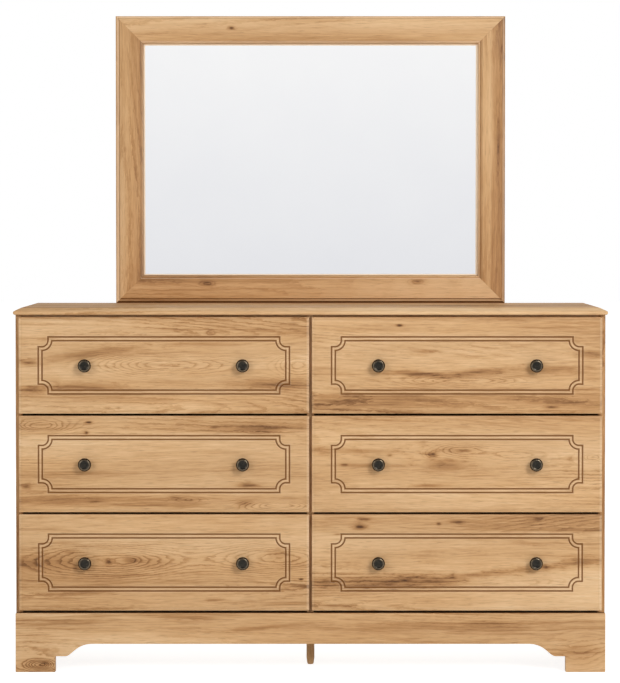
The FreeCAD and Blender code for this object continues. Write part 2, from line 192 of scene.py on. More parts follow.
def loft(loops: Array) -> Shell:
    """Skins loops of shape (loops, points round, 3) and closes the first and last with a flat face each."""
    index, _, quads = skin(*loops.shape[:2])
    return Shell(loops.reshape(-1, 3), [quads, np.stack([index[0, ::-1], index[-1]])])


def lathe(profile: Array, segments: int, along: Callable[[Array, Array, Array], Array]) -> Shell:
    """Turns a profile about an axis.

    Formula: the point at radius r and height h goes to (r cos t, r sin t, h) for t in equal steps round the
    axis. The first and last points of the profile lie on the axis and become single points, each the tip of a
    fan.

    Args:
        profile: (radius, height) pairs from pole to pole.
        segments: number of steps round the axis.
        along: puts the arrays of cosine part, sine part and height where they belong.

    Returns:
        The closed shell.
    """
    turn = np.linspace(0.0, 2.0 * math.pi, segments, endpoint=False)
    radius, height = profile[1:-1, :1], profile[1:-1, 1:]
    rings = along(radius * np.cos(turn), radius * np.sin(turn), height)
    tips = along(np.zeros(2), np.zeros(2), profile[[0, -1], 1])
    index, onward, quads = skin(len(radius), segments)
    fans = np.vstack([spots(onward[0], index[0], index.size), spots(index[-1], onward[-1], index.size + 1)])
    return Shell(np.vstack([rings.reshape(-1, 3), tips]), [quads, fans])


def studs(profile: Rows, segments: int, places: Rows) -> Shell:
    """Heads of nails or screws that face +Y: one profile turned about Y at each place, as one shell of many.

    Args:
        profile: (radius, height) pairs from pole to pole.
        segments: number of steps round the axis.
        places: where the heads sit.

    Returns:
        The shell.
    """
    heads = [
        lathe(np.array(profile), segments, lambda a, b, h, x=x, y=y, z=z: spots(x + a, y + h, z + b))
        for x, y, z in places
    ]
    return reduce(Shell.joined, heads)


def eased(points: Array, reach: Union[Array, float], steps: int = 4, closed: bool = True) -> Array:
    """Rounds the corners of an outline.

    Formula: a corner P is swapped for the parabola (1-t)^2 A + 2t(1-t) P + t^2 B, where A and B lie on the
    sides before and after it, as far from P as its reach says or as the neighbouring corners leave room for.

    Args:
        points: corners, shape (n, 2).
        reach: how far the rounding of each corner reaches along its sides.
        steps: points on each rounded corner.
        closed: whether the last point joins the first. The ends of an open line stay as they are.

    Returns:
        The rounded outline, shape (n * steps, 2), or without the rounding of its two ends.
    """
    reach = np.broadcast_to(np.asarray(reach, float), len(points))
    ends = []
    for back in (1, -1):
        side = np.roll(points, back, axis=0) - points
        long = np.linalg.norm(side, axis=1)
        room = 0.96 * long - np.minimum(np.roll(reach, back), 0.48 * long)
        ends.append((points + side * (np.minimum(reach, room) / long)[:, None])[:, None])
    t = np.linspace(0.0, 1.0, steps)[None, :, None]
    curve = (1 - t) ** 2 * ends[0] + 2 * t * (1 - t) * points[:, None] + t**2 * ends[1]
    if closed:
        return curve.reshape(-1, 2)
    return np.vstack([points[:1], curve[1:-1].reshape(-1, 2), points[-1:]])


def flowing(points: Array, steps: int) -> Array:
    """Draws a smooth line through points.

    Formula: between P1 and P2 the line is the Catmull-Rom cubic of P0, P1, P2 and P3, whose tangent at each
    point is half the step from the point before it to the point after it.

    Args:
        points: points to pass through, shape (n, 2).
        steps: points on each stretch.

    Returns:
        The smooth line, shape ((n - 1) * steps + 1, 2).
    """
    padded = np.vstack([2 * points[0] - points[1], points, 2 * points[-1] - points[-2]])
    p0, p1, p2, p3 = (padded[i : len(padded) - 3 + i][:, None] for i in range(4))
    t = np.linspace(0.0, 1.0, steps, endpoint=False)[None, :, None]
    line = 0.5 * (
        2 * p1 + (p2 - p0) * t + (2 * p0 - 5 * p1 + 4 * p2 - p3) * t**2 + (3 * p1 - p0 - 3 * p2 + p3) * t**3
    )
    return np.vstack([line.reshape(-1, 2), points[-1:]])


def drawn_in(outline: Array, inset: Array) -> Array:
    """Moves a closed outline inwards by mitred offsets.

    Formula: with unit inward normals m and n of the two sides at a corner, the corner moves by
    inset * (m + n) / (1 + m . n), which keeps every side parallel to itself.

    Args:
        outline: corners in anticlockwise order, shape (n, 2).
        inset: distances, shape (k,).

    Returns:
        Outlines of shape (k, n, 2).
    """
    side = np.roll(outline, -1, axis=0) - outline
    side /= np.linalg.norm(side, axis=1, keepdims=True)
    inward = np.stack([-side[:, 1], side[:, 0]], axis=1)
    behind = np.roll(inward, 1, axis=0)
    mitre = (inward + behind) / (1.0 + np.sum(inward * behind, axis=1, keepdims=True))
    return outline[None] + np.asarray(inset)[:, None, None] * mitre[None]


def rounded_rectangle(half_wide: Array, half_high: Array, corner: Array, steps: int = 3) -> Array:
    """Rectangles with round corners.

    Formula: each corner is a quarter circle about (half_wide - corner, half_high - corner), with the signs of
    its quadrant.

    Args:
        half_wide: half widths, shape (k,).
        half_high: half heights, shape (k,).
        corner: corner radii, shape (k,).
        steps: stretches on each quarter circle.

    Returns:
        Loops of shape (k, 4 * (steps + 1), 2), anticlockwise.
    """
    angle = (np.arange(4)[:, None] * RIGHT_ANGLE + np.linspace(0.0, RIGHT_ANGLE, steps + 1)).ravel()
    wide, high = np.repeat([[1, -1, -1, 1.0], [1, 1, -1, -1.0]], steps + 1, axis=1)
    p = (half_wide - corner)[:, None] * wide + corner[:, None] * np.cos(angle)
    q = (half_high - corner)[:, None] * high + corner[:, None] * np.sin(angle)
    return np.stack([p, q], axis=-1)


def eased_faces(thickness: float, radius: float, steps: int = 3) -> tuple[Array, Array]:
    """Insets and heights of a board whose two faces meet its edges in quarter circles.

    Formula: at the angle a, the inset is radius (1 - sin a) and the height radius (1 - cos a) at the first
    face, and the same the other way round at the second.

    Args:
        thickness: of the board.
        radius: of the eased edges.
        steps: stretches on each quarter circle.

    Returns:
        The insets and the heights, in order from one face to the other.
    """
    angle = np.linspace(0.0, RIGHT_ANGLE, steps + 1)
    inset, rise = radius * (1 - np.sin(angle)), radius * (1 - np.cos(angle))
    return np.concatenate([inset, inset[::-1]]), np.concatenate([rise, thickness - rise[::-1]])


def board(low: Array, high: Array, radius: float = 0.0007) -> Shell:
    """A board with eased edges: rounded rectangles stacked through its thickness.

    Args:
        low: lowest corner.
        high: highest corner.
        radius: of the eased edges.

    Returns:
        The closed shell.
    """
    size, middle = high - low, (low + high) / 2
    through = int(np.argmin(size))
    p, q = [axis for axis in range(3) if axis != through]
    inset, rise = eased_faces(size[through], radius)
    flat = rounded_rectangle(size[p] / 2 - inset, size[q] / 2 - inset, 1.6 * radius - inset)
    loops = np.zeros((*flat.shape[:2], 3))
    loops[..., [p, q]] = middle[[p, q]] + flat
    loops[..., through] = (low[through] + rise)[:, None]
    return loft(loops)


# ---------------------------------------------------------------- node trees


def tint(red: float, green: float, blue: float) -> tuple[float, float, float, float]:
    """Linear colour of display values from 0 to 255, with full opacity.

    Formula: a display value v from 0 to 1 is ((v + 0.055) / 1.055) ^ 2.4, or v / 12.92 below 0.04045.

    Args:
        red: display value.
        green: display value.
        blue: display value.

    Returns:
        Linear red, green, blue and 1.
    """
    shown = np.array([red, green, blue]) / 255.0
    linear = np.where(shown > 0.04045, ((shown + 0.055) / 1.055) ** 2.4, shown / 12.92)
    return (*linear.tolist(), 1.0)


BLACK = (0.0, 0.0, 0.0, 1.0)
WHITE = (1.0, 1.0, 1.0, 1.0)


class Graph:
    """A node tree with short calls that add a node, feed its inputs and give back its output."""

    def __init__(self, tree: bpy.types.NodeTree) -> None:
        """Takes the tree that the nodes go into."""
        self.tree = tree

    @classmethod
    def emptied(cls, owner: bpy.types.ID) -> "Graph":
        """The cleared node tree of a new material or world.

        Args:
            owner: the material or world.

        Returns:
            The tree.
        """
        owner.use_nodes = True
        owner.node_tree.nodes.clear()
        return cls(owner.node_tree)

    def node(self, kind: str, **settings: object) -> bpy.types.Node:
        """Adds a node and sets its properties.

        Args:
            kind: type name of the node.
            settings: properties and their values.

        Returns:
            The node.
        """
        made = self.tree.nodes.new(kind)
        for key, value in settings.items():
            setattr(made, key, value)
        return made

    def feed(self, socket: Socket, value: Feed) -> None:
        """Joins an output to an input, or sets the input's own value, or leaves it.

        Args:
            socket: the input.
            value: an output, a number, a tuple, or None.
        """
        if isinstance(value, bpy.types.NodeSocket):
            self.tree.links.new(value, socket)
        elif value is not None:
            socket.default_value = value

    def fed(
        self, kind: str, *values: Feed, named: Optional[dict[str, Feed]] = None, **settings: object
    ) -> bpy.types.NodeOutputs:
        """Adds a node, sets its properties and feeds its inputs.

        Args:
            kind: type name of the node.
            values: values of its first inputs, in order.
            named: values of its inputs by name.
            settings: properties and their values.

        Returns:
            Its outputs.
        """
        made = self.node(kind, **settings)
        for socket, value in zip(made.inputs, values):
            self.feed(socket, value)
        for key, value in (named or {}).items():
            self.feed(made.inputs[key], value)
        return made.outputs

    def math(self, operation: str, *values: Feed, clamp: bool = False) -> Socket:
        """Adds a Math node; clamp holds the result within 0 and 1."""
        return self.fed("ShaderNodeMath", *values, operation=operation, use_clamp=clamp)[0]

    def plus(self, first: Feed, second: Feed) -> Socket:
        """The sum of two values."""
        return self.math("ADD", first, second)

    def less(self, first: Feed, second: Feed) -> Socket:
        """The first value less the second."""
        return self.math("SUBTRACT", first, second)

    def times(self, first: Feed, second: Feed) -> Socket:
        """The product of two values."""
        return self.math("MULTIPLY", first, second)

    def share(self, value: Feed, factor: Feed, base: Feed) -> Socket:
        """A value times a factor, added to a base."""
        return self.math("MULTIPLY_ADD", value, factor, base)

    def noise(self, vector: Feed, scale: Sequence[float], detail: float = 2.0, rough: float = 0.5) -> Socket:
        """Smooth noise from 0 to 1.

        Args:
            vector: where it is read.
            scale: waves per metre along each axis.
            detail: octaves.
            rough: share of the finer octaves.

        Returns:
            Its value.
        """
        place = self.fed("ShaderNodeVectorMath", vector, scale, operation="MULTIPLY")[0]
        values = {"Vector": place, "Scale": 1.0, "Detail": detail, "Roughness": rough}
        return self.fed("ShaderNodeTexNoise", named=values, noise_dimensions="3D")[0]

    def wave(self, vector: Feed, scale: Sequence[float], detail: float = 2.0, rough: float = 0.5) -> Socket:
        """Smooth noise from -0.5 to 0.5."""
        return self.less(self.noise(vector, scale, detail, rough), 0.5)

    def span(
        self, value: Feed, low: float, high: float, start: float = 0.0, end: float = 1.0, smooth: bool = False
    ) -> Socket:
        """Carries a value from low..high to start..end, held at the ends; smooth makes it an S curve."""
        way = "SMOOTHSTEP" if smooth else "LINEAR"
        return self.fed("ShaderNodeMapRange", value, low, high, start, end, interpolation_type=way)[0]

    def blend(self, factor: Feed, first: Feed, second: Feed, way: str = "MIX") -> Socket:
        """Mixes two colours, inputs 6 and 7 of the node, with factor as the share of the second."""
        skipped = [None] * 5
        return self.fed("ShaderNodeMix", factor, *skipped, first, second, data_type="RGBA", blend_type=way)[2]

    def ramp(self, value: Feed, stops: Sequence[tuple[float, Sequence[float]]]) -> Socket:
        """Turns a value into a colour.

        Args:
            value: from 0 to 1.
            stops: places and colours in order.

        Returns:
            The colour.
        """
        made = self.node("ShaderNodeValToRGB")
        elements = made.color_ramp.elements
        for _ in stops[2:]:
            elements.new(0.5)
        for element, (place, colour) in zip(elements, stops):
            element.position, element.color = place, tuple(colour)
        self.feed(made.inputs[0], value)
        return made.outputs[0]

    def shades(self, value: Feed, *stops: Sequence[float]) -> Socket:
        """Turns a value into a colour, with each stop as a place and three display values."""
        return self.ramp(value, [(place, tint(*colour)) for place, *colour in stops])

    def parts(self, vector: Feed) -> bpy.types.NodeOutputs:
        """The X, Y and Z of a vector."""
        return self.fed("ShaderNodeSeparateXYZ", vector)

    def vector(self, x: Feed, y: Feed, z: Feed) -> Socket:
        """A vector of three values."""
        return self.fed("ShaderNodeCombineXYZ", x, y, z)[0]

    def recess(self) -> Socket:
        """The point attribute: painted shade above 0 and painted highlight below 0, and on the knobs the
        darker dish and the rubbed crest.
        """
        return self.node("ShaderNodeAttribute", attribute_name="recess").outputs["Fac"]


# ---------------------------------------------------------------- shared effects

Sockets = dict[str, Socket]
Builder = Callable[[Graph, Sockets], Sockets]


@dataclass
class Effect:
    """A shared effect: a node group that is built once and placed in each material with its own values.

    Attributes:
        name: the group's name.
        inputs: its value inputs, which follow Vector, and their defaults, with _ for a space.
        build: fills it and gives its outputs; a name that ends in Vector makes a vector.
        tree: the group, once it is built.
    """

    name: str
    inputs: dict[str, float]
    build: Builder
    tree: Optional[bpy.types.NodeTree] = None

    def group(self) -> bpy.types.NodeTree:
        """The node group.

        Returns:
            Its tree, built the first time that it is asked for.
        """
        if self.tree is None:
            self.tree = bpy.data.node_groups.new(self.name, "ShaderNodeTree")
            face = self.tree.interface
            face.new_socket("Vector", in_out="INPUT", socket_type="NodeSocketVector")
            for key, value in self.inputs.items():
                socket = face.new_socket(key.replace("_", " "), in_out="INPUT", socket_type="NodeSocketFloat")
                socket.default_value = value
            g = Graph(self.tree)
            entry = g.node("NodeGroupInput")
            found = self.build(g, {socket.name: socket for socket in entry.outputs if socket.name})
            for key in found:
                kind = "NodeSocketVector" if key.endswith("Vector") else "NodeSocketFloat"
                face.new_socket(key, in_out="OUTPUT", socket_type=kind)
            g.fed("NodeGroupOutput", named=found)
        return self.tree

    def __call__(self, g: Graph, *values: Feed, **named: Feed) -> bpy.types.NodeOutputs:
        """Places the group in a tree, fed in order and by name, and gives its outputs."""
        return g.fed("ShaderNodeGroup", *values, named=named, node_tree=self.group())


def effect(name: str, **inputs: float) -> Callable[[Builder], Effect]:
    """Makes a shared effect of the function that fills its group."""
    return lambda build: Effect(name, inputs, build)


@effect(
    "Grain mark",
    Ragged=1.0,
    Centre_Along=0.0,
    Centre_Across=0.0,
    Length=0.1,
    Width=0.02,
    Dark=0.3,
    Rings=0.0,
    Bend=0.3,
    Tilt=0.0,
)
def grain_mark(g: Graph, i: Sockets) -> Sockets:
    """A knot or an eye: bends the grain round it, darkens it and lifts the growth rings over it.

    Formula: with d the distance from its centre in units of its length and width, the share is e^(-d^2). The
    grain is drawn apart by that share, and the dark heart is e^(-1.6 d^2), with d broken up by noise.

    Args:
        g: the group's tree.
        i: its inputs.

    Returns:
        Its outputs.
    """
    x, y, z = g.parts(i["Vector"])
    along = g.math("DIVIDE", g.less(x, i["Centre Along"]), i["Length"])
    level = g.share(g.less(x, i["Centre Along"]), i["Tilt"], i["Centre Across"])
    across = g.math("DIVIDE", g.less(z, level), i["Width"])
    square = g.plus(g.times(along, along), g.times(across, across))
    share = g.math("EXPONENT", g.times(square, -1.0))
    heart = g.math("EXPONENT", g.times(g.times(square, i["Ragged"]), -1.6))
    keep = g.less(1.0, g.times(share, i["Bend"]))
    bent = g.share(g.less(z, i["Centre Across"]), keep, i["Centre Across"])
    shade = g.plus(g.times(heart, 0.8), g.times(share, 0.2))
    lift = g.times(share, i["Rings"])
    return {"Bent Vector": g.vector(x, y, bent), "Shade": g.times(shade, i["Dark"]), "Lift": lift}


@effect(
    "Wood figure",
    Seed=0.0,
    Lift=0.0,
    Rings=26.0,
    Broad=1.0,
    Streak=0.6,
    Strokes=0.2,
    Fibre=0.3,
    Lines=0.25,
)
def wood_figure(g: Graph, i: Sockets) -> Sockets:
    """The figure of a plain-sawn board, along X.

    Formula: a smooth height field, long along the grain, is cut into levels. The fraction above each level
    runs from light to dark and drops back at the next, as a growth ring does. Broad bands, streaks, sparse
    dark strokes and fibres of noise are added to it, calm in some places and busy in others.

    Args:
        g: the group's tree.
        i: its inputs.

    Returns:
        Its outputs.
    """
    shift = g.vector(*(g.times(i["Seed"], step) for step in (3.17, 1.73, 2.41)))
    place = g.fed("ShaderNodeVectorMath", i["Vector"], shift, operation="ADD")[0]
    wander = g.wave(place, (1.1, 6, 6), 1.0)
    fine = g.wave(place, (6, 30, 30))
    slip = g.share(wander, 0.045, g.times(fine, 0.005))
    place = g.fed("ShaderNodeVectorMath", place, g.vector(0.0, 0.0, slip), operation="ADD")[0]
    height = g.plus(g.noise(place, (0.5, 6, 6), 1.0, 0.35), i["Lift"])
    jagged = g.wave(place, (50, 70, 220), 2.0, 0.6)
    ring = g.math("FRACT", g.share(height, i["Rings"], jagged))
    late = g.times(g.span(ring, 0.45, 0.88, smooth=True), g.span(ring, 0.9, 1.0, 1.0, 0.0))
    busy = g.span(g.noise(place, (1.6, 8, 8), 1.0), 0.35, 0.65, 0.4, 1.5)
    showing = g.times(g.span(g.noise(place, (1.0, 9, 9)), 0.4, 0.62, 0.12, 1.0), busy)
    showing = g.math("MAXIMUM", showing, g.span(i["Lift"], 0.01, 0.1))
    broad = g.wave(place, (0.9, 8, 8), 3.0, 0.55)
    streak = g.wave(place, (2.4, 60, 60), 4.0, 0.6)
    stroke = g.span(g.noise(place, (2.6, 90, 90), 3.0, 0.6), 0.52, 0.8)
    fibre = g.wave(place, (16, 300, 300), 3.0, 0.65)
    tone = g.share(streak, i["Streak"], g.share(broad, i["Broad"], 0.54))
    tone = g.less(tone, g.times(g.times(stroke, busy), i["Strokes"]))
    tone = g.share(fibre, i["Fibre"], tone)
    lines = g.times(late, showing)
    return {
        "Tone": g.less(tone, g.times(lines, i["Lines"])),
        "Line": lines,
        "Fibre": g.plus(fibre, 0.5),
        "Slipped Vector": place,
    }


@effect("Pores", Ticks=0.6)
def pores(g: Graph, i: Sockets) -> Sockets:
    """Short dark vessels: the high peaks of noise that is drawn out along X.

    Args:
        g: the group's tree.
        i: its inputs.

    Returns:
        Its outputs.
    """
    small = g.span(g.noise(i["Vector"], (30, 700, 700), 1.0), 0.6, 0.74)
    large = g.span(g.noise(i["Vector"], (14, 240, 240), 1.0), 0.6, 0.75)
    return {"Mask": g.math("MAXIMUM", small, g.times(large, i["Ticks"]))}


@effect("Handling", Roughness=0.5, Amount=0.05)
def handling(g: Graph, i: Sockets) -> Sockets:
    """Uneven sheen of a surface that has been wiped and touched: soft patches and fine scuffs.

    Args:
        g: the group's tree.
        i: its inputs.

    Returns:
        Its outputs.
    """
    patch = g.span(g.noise(i["Vector"], (7, 7, 7), 3.0), 0.35, 0.65, -1.0, 1.0)
    scuff = g.span(g.noise(i["Vector"], (160, 40, 160), 3.0, 0.7), 0.3, 0.7, -0.5, 0.5)
    change = g.times(g.plus(patch, scuff), i["Amount"])
    return {"Roughness": g.math("ADD", i["Roughness"], change, clamp=True)}


@effect("Speckle", Scale=200.0)
def speckle(g: Graph, i: Sockets) -> Sockets:
    """Grains of two sizes from cell noise, for pressed fibre and for zinc spangle.

    Args:
        g: the group's tree.
        i: its inputs.

    Returns:
        Its outputs.
    """
    cells = g.fed("ShaderNodeTexVoronoi", named=i, feature="F1")["Color"]
    scaled = g.fed("ShaderNodeVectorMath", named=i, operation="SCALE")[0]
    return {"Cells": g.parts(cells)[0], "Cloud": g.noise(scaled, (0.4, 0.4, 0.4), 3.0)}


# ---------------------------------------------------------------- finishes


class Grain(Enum):
    """How the grain lies on a piece, as the turn that brings it along X and the shown face into XZ."""

    LENGTHWAYS = (0.0, 0.0, 0.0)
    UPRIGHT = (0.0, RIGHT_ANGLE, 0.0)
    LEVEL = (RIGHT_ANGLE, 0.0, 0.0)
    UPRIGHT_SIDE = (RIGHT_ANGLE, 0.0, -RIGHT_ANGLE)


@dataclass(frozen=True)
class Mark:
    """A knot, an eye or a smudge on a board.

    Attributes:
        along: place along the grain.
        across: place across the grain.
        length: reach along the grain.
        width: reach across the grain.
        dark: how dark its heart is.
        rings: how much it lifts the growth rings.
        bend: how much the grain bends round it.
        tilt: slope of its long axis.
    """

    along: float
    across: float
    length: float
    width: float
    dark: float = 0.3
    rings: float = 0.0
    bend: float = 0.3
    tilt: float = 0.0


class Finish:
    """What every finish has: a name, the record's slot, and a material that is made once."""

    label: str
    slot: str

    def material(self) -> bpy.types.Material:
        """The finish's material.

        Returns:
            The material, made the first time that it is asked for.
        """
        found = bpy.data.materials.get(self.label)
        if found is None:
            found = bpy.data.materials.new(self.label)
            g = Graph.emptied(found)
            shader = g.fed("ShaderNodeBsdfPrincipled", named=self.looks(g))
            g.fed("ShaderNodeOutputMaterial", shader[0])
        return found

    def looks(self, g: Graph) -> dict[str, Feed]:
        """Fills the material.

        Args:
            g: its node tree.

        Returns:
            What feeds the Principled shader, by input.
        """
        raise NotImplementedError

    @staticmethod
    def place(g: Graph) -> Socket:
        """Object coordinates, in metres."""
        return g.node("ShaderNodeTexCoord").outputs["Object"]

    @classmethod
    def along_grain(cls, g: Graph, grain: Grain) -> Socket:
        """Object coordinates, turned so that the grain runs along X."""
        return g.fed("ShaderNodeMapping", named={"Vector": cls.place(g), "Rotation": grain.value})[0]

    @staticmethod
    def relief(g: Graph, height: Socket, distance: float, strength: float) -> Socket:
        """The normal of a height from 0 to 1, which stands for a depth up to distance, at some strength."""
        values = {"Strength": strength, "Distance": distance, "Height": height}
        return g.fed("ShaderNodeBump", named=values)[0]


OAK_SHADES = (
    (0.0, 88, 56, 30),
    (0.2, 140, 97, 58),
    (0.4, 184, 138, 90),
    (0.55, 207, 164, 116),
    (0.75, 224, 185, 139),
    (1.0, 239, 207, 165),
)
OAK_DRIFT = ((0.0, (1.0, 0.96, 0.9, 1.0)), (0.5, WHITE), (1.0, (0.98, 1.0, 1.04, 1.0)))
OAK_PORE = tint(124, 80, 42)
# Colours of the painted light: a pale colour for painted highlights and a dark brown for painted shade.
OAK_PAINTED_HIGHLIGHT = tint(250, 230, 204)
OAK_PAINTED_SHADE = tint(112, 66, 14)


@dataclass(frozen=True)
class OakDecor(Finish):
    """Light rustic oak decor: staves of changing tone, rings, knots, streaks and pores, with painted shade in
    grooves and gaps and painted highlights on edges.

    Attributes:
        label: name of the material.
        seed: place in the endless board that the piece is cut from.
        grain: how the grain lies.
        tone: added to the tone all over.
        marks: knots, eyes and smudges, as the values of Mark.
        staves: tones added along a line across the grain, as (place from 0 to 1, tone).
        across: where that line starts and ends, across the grain.
        strength: of streaks, fibres and ring lines.
        wavy: how far the staves wander.
    """

    label: str
    seed: float
    grain: Grain = Grain.LENGTHWAYS
    tone: float = 0.0
    marks: Rows = ()
    staves: Rows = ()
    across: tuple[float, float] = (0.0, 1.0)
    strength: float = 1.0
    wavy: float = 0.022
    slot: str = "oak_decor"

    def looks(self, g: Graph) -> dict[str, Feed]:
        """Fills the material.

        Args:
            g: its node tree.

        Returns:
            What feeds the Principled shader, by input.
        """
        where = self.along_grain(g, self.grain)
        lift: Feed = 0.0
        shade: Feed = 0.0
        if self.marks:
            ragged = g.span(g.noise(where, (34, 34, 150), 3.0, 0.6), 0.3, 0.7, 0.3, 1.8)
        for row in self.marks:
            where, dark, raised = grain_mark(g, where, ragged, *astuple(Mark(*row)))
            lift, shade = g.plus(raised, lift), g.plus(dark, shade)
        tone, line, fibre, slipped = wood_figure(
            g,
            where,
            Seed=self.seed,
            Lift=lift,
            Rings=40.0,
            Streak=0.2 * self.strength,
            Strokes=0.2 * self.strength,
            Fibre=0.5 * self.strength,
            Lines=0.2 * self.strength,
        )
        vessels = pores(g, slipped, 0.25)[0]
        tone = g.plus(tone, self.tone + 0.07)
        if self.staves:
            shifted = g.share(g.wave(where, (2.2, 3, 3)), self.wavy, g.parts(where)[2])
            greys = [(place, (0.5 + value,) * 3 + (1.0,)) for place, value in self.staves]
            grey = g.ramp(g.span(shifted, *self.across), greys)
            tone = g.plus(tone, g.less(grey, 0.5))
        broken = g.share(g.share(line, 0.05, fibre), 3.4, -0.72)
        tone = g.less(tone, g.times(shade, broken))
        drift = g.ramp(g.span(g.noise(slipped, (1.2, 14, 14)), 0.35, 0.65), OAK_DRIFT)
        colour = g.blend(0.5, g.shades(tone, *OAK_SHADES), drift, "MULTIPLY")
        colour = g.blend(g.times(vessels, 0.32), colour, OAK_PORE)
        # Painted light from the point attribute: below 0 a painted highlight towards the pale colour, above 0
        # painted shade towards the dark brown.
        recess = g.recess()
        colour = g.blend(g.math("MULTIPLY", recess, -0.6, clamp=True), colour, OAK_PAINTED_HIGHLIGHT)
        colour = g.blend(g.math("MULTIPLY", recess, 0.9, clamp=True), colour, OAK_PAINTED_SHADE)
        sheen = handling(g, where, 0.54, 0.05)[0]
        height = g.less(g.times(fibre, 0.4), g.math("MAXIMUM", vessels, g.times(line, 0.4)))
        return {
            "Base Color": colour,
            "Roughness": g.math("MULTIPLY_ADD", vessels, 0.15, sheen, clamp=True),
            "Specular IOR Level": 0.28,
            "Normal": self.relief(g, height, 0.00025, 0.7),
        }


@dataclass(frozen=True)
class BoxBoard(Finish):
    """Pale maple-coloured foil on the hidden boards and the drawer boxes."""

    label: str = "Box board foil"
    grain: Grain = Grain.LENGTHWAYS
    slot: str = "box_board"

    def looks(self, g: Graph) -> dict[str, Feed]:
        """Fills the material.

        Args:
            g: its node tree.

        Returns:
            What feeds the Principled shader, by input.
        """
        where = self.along_grain(g, self.grain)
        tone, line, fibre, slipped = wood_figure(
            g, where, Seed=5.3, Rings=18.0, Broad=0.35, Streak=0.3, Strokes=0.12, Lines=0.12
        )
        colour = g.shades(tone, (0.15, 182, 150, 112), (0.5, 216, 190, 152), (0.85, 232, 212, 180))
        return {
            "Base Color": g.blend(g.times(pores(g, slipped, 0.2)[0], 0.2), colour, tint(150, 112, 74)),
            "Roughness": handling(g, where, 0.55, 0.05)[0],
            "Normal": self.relief(g, g.plus(fibre, line), 0.00015, 0.5),
        }


@dataclass(frozen=True)
class Hardboard(Finish):
    """Pressed brown fibre board: a mottled skin with dark and pale fibres."""

    label: str = "Hardboard"
    slot: str = "hardboard"

    def looks(self, g: Graph) -> dict[str, Feed]:
        """Fills the material.

        Args:
            g: its node tree.

        Returns:
            What feeds the Principled shader, by input.
        """
        where = self.place(g)
        cells, cloud = speckle(g, where, 420.0)
        threads = g.noise(where, (90, 90, 90), 4.0, 0.75)
        mottle = g.share(g.noise(where, (6, 6, 6), 4.0, 0.6), 0.45, 0.275)
        tone = g.share(g.less(threads, 0.5), 0.8, g.share(g.less(cells, 0.5), 0.22, mottle))
        return {
            "Base Color": g.shades(tone, (0.2, 96, 66, 42), (0.5, 140, 102, 68), (0.8, 168, 130, 92)),
            "Roughness": handling(g, where, 0.66, 0.08)[0],
            "Normal": self.relief(g, g.plus(threads, g.times(cloud, 0.5)), 0.0003, 0.6),
        }


@dataclass(frozen=True)
class ZincSteel(Finish):
    """Zinc-plated steel of runners and screws: faint spangle, drawn lines and dulled patches."""

    label: str = "Zinc steel"
    slot: str = "runner_steel"

    def looks(self, g: Graph) -> dict[str, Feed]:
        """Fills the material.

        Args:
            g: its node tree.

        Returns:
            What feeds the Principled shader, by input.
        """
        where = self.place(g)
        cells, cloud = speckle(g, where, 260.0)
        lines = g.noise(where, (500, 6, 500))
        tone = g.share(cells, 0.25, g.times(cloud, 0.5))
        worn = handling(g, where, 0.34, 0.07)[0]
        return {
            "Base Color": g.shades(tone, (0.1, 150, 152, 154), (0.45, 188, 190, 190), (0.7, 208, 208, 204)),
            "Metallic": 1.0,
            "Roughness": g.math("MULTIPLY_ADD", lines, 0.12, worn, clamp=True),
            "Normal": self.relief(g, lines, 0.00005, 0.4),
        }


@dataclass(frozen=True)
class AgedBronze(Finish):
    """Dark bronze of the knobs: darkest in the dish, brown on the rim and rubbed bright on the crest."""

    label: str = "Aged bronze"
    slot: str = "aged_bronze"

    def looks(self, g: Graph) -> dict[str, Feed]:
        """Fills the material.

        Args:
            g: its node tree.

        Returns:
            What feeds the Principled shader, by input.
        """
        where = self.place(g)
        cells, cloud = speckle(g, where, 900.0)
        patch = g.noise(where, (160, 160, 160), 4.0, 0.65)
        recess = g.recess()
        dark = g.shades(patch, (0.3, 30, 28, 24), (0.55, 44, 41, 35), (0.8, 62, 55, 44))
        rim = g.shades(patch, (0.3, 34, 22, 15), (0.6, 52, 36, 25), (0.85, 90, 64, 44))
        bright = g.shades(patch, (0.3, 84, 76, 62), (0.6, 108, 97, 79), (0.85, 138, 124, 100))
        metal = g.blend(g.math("MULTIPLY", recess, 1.0, clamp=True), rim, dark)
        return {
            "Base Color": g.blend(g.math("MULTIPLY", recess, -0.85, clamp=True), metal, bright),
            "Metallic": g.span(cloud, 0.3, 0.7, 0.7, 0.95),
            "Roughness": handling(g, where, 0.22, 0.05)[0],
            "Normal": self.relief(g, g.plus(patch, g.times(cells, 0.2)), 0.0002, 0.5),
        }


@dataclass(frozen=True)
class SilveredGlass(Finish):
    """Mirror glass: bright silvering with a faint haze of dust."""

    label: str = "Silvered glass"
    slot: str = "mirror_glass"

    def looks(self, g: Graph) -> dict[str, Feed]:
        """Fills the material.

        Args:
            g: its node tree.

        Returns:
            What feeds the Principled shader, by input.
        """
        haze = g.noise(self.place(g), (3, 3, 3), 4.0, 0.6)
        return {
            "Base Color": g.shades(haze, (0.3, 250, 250, 251), (0.7, 253, 253, 253)),
            "Metallic": 1.0,
            "Roughness": g.span(haze, 0.4, 0.8, 0.012, 0.03),
        }


BOX_BOARD = BoxBoard()
BOX_BOARD_UPRIGHT = BoxBoard("Box board foil upright", Grain.UPRIGHT)
BOX_BOARD_DEEP = BoxBoard("Box board foil front to back", Grain.UPRIGHT_SIDE)
HARDBOARD = Hardboard()
ZINC_STEEL = ZincSteel()
AGED_BRONZE = AgedBronze()
SILVERED_GLASS = SilveredGlass()


# ---------------------------------------------------------------- sub-assemblies


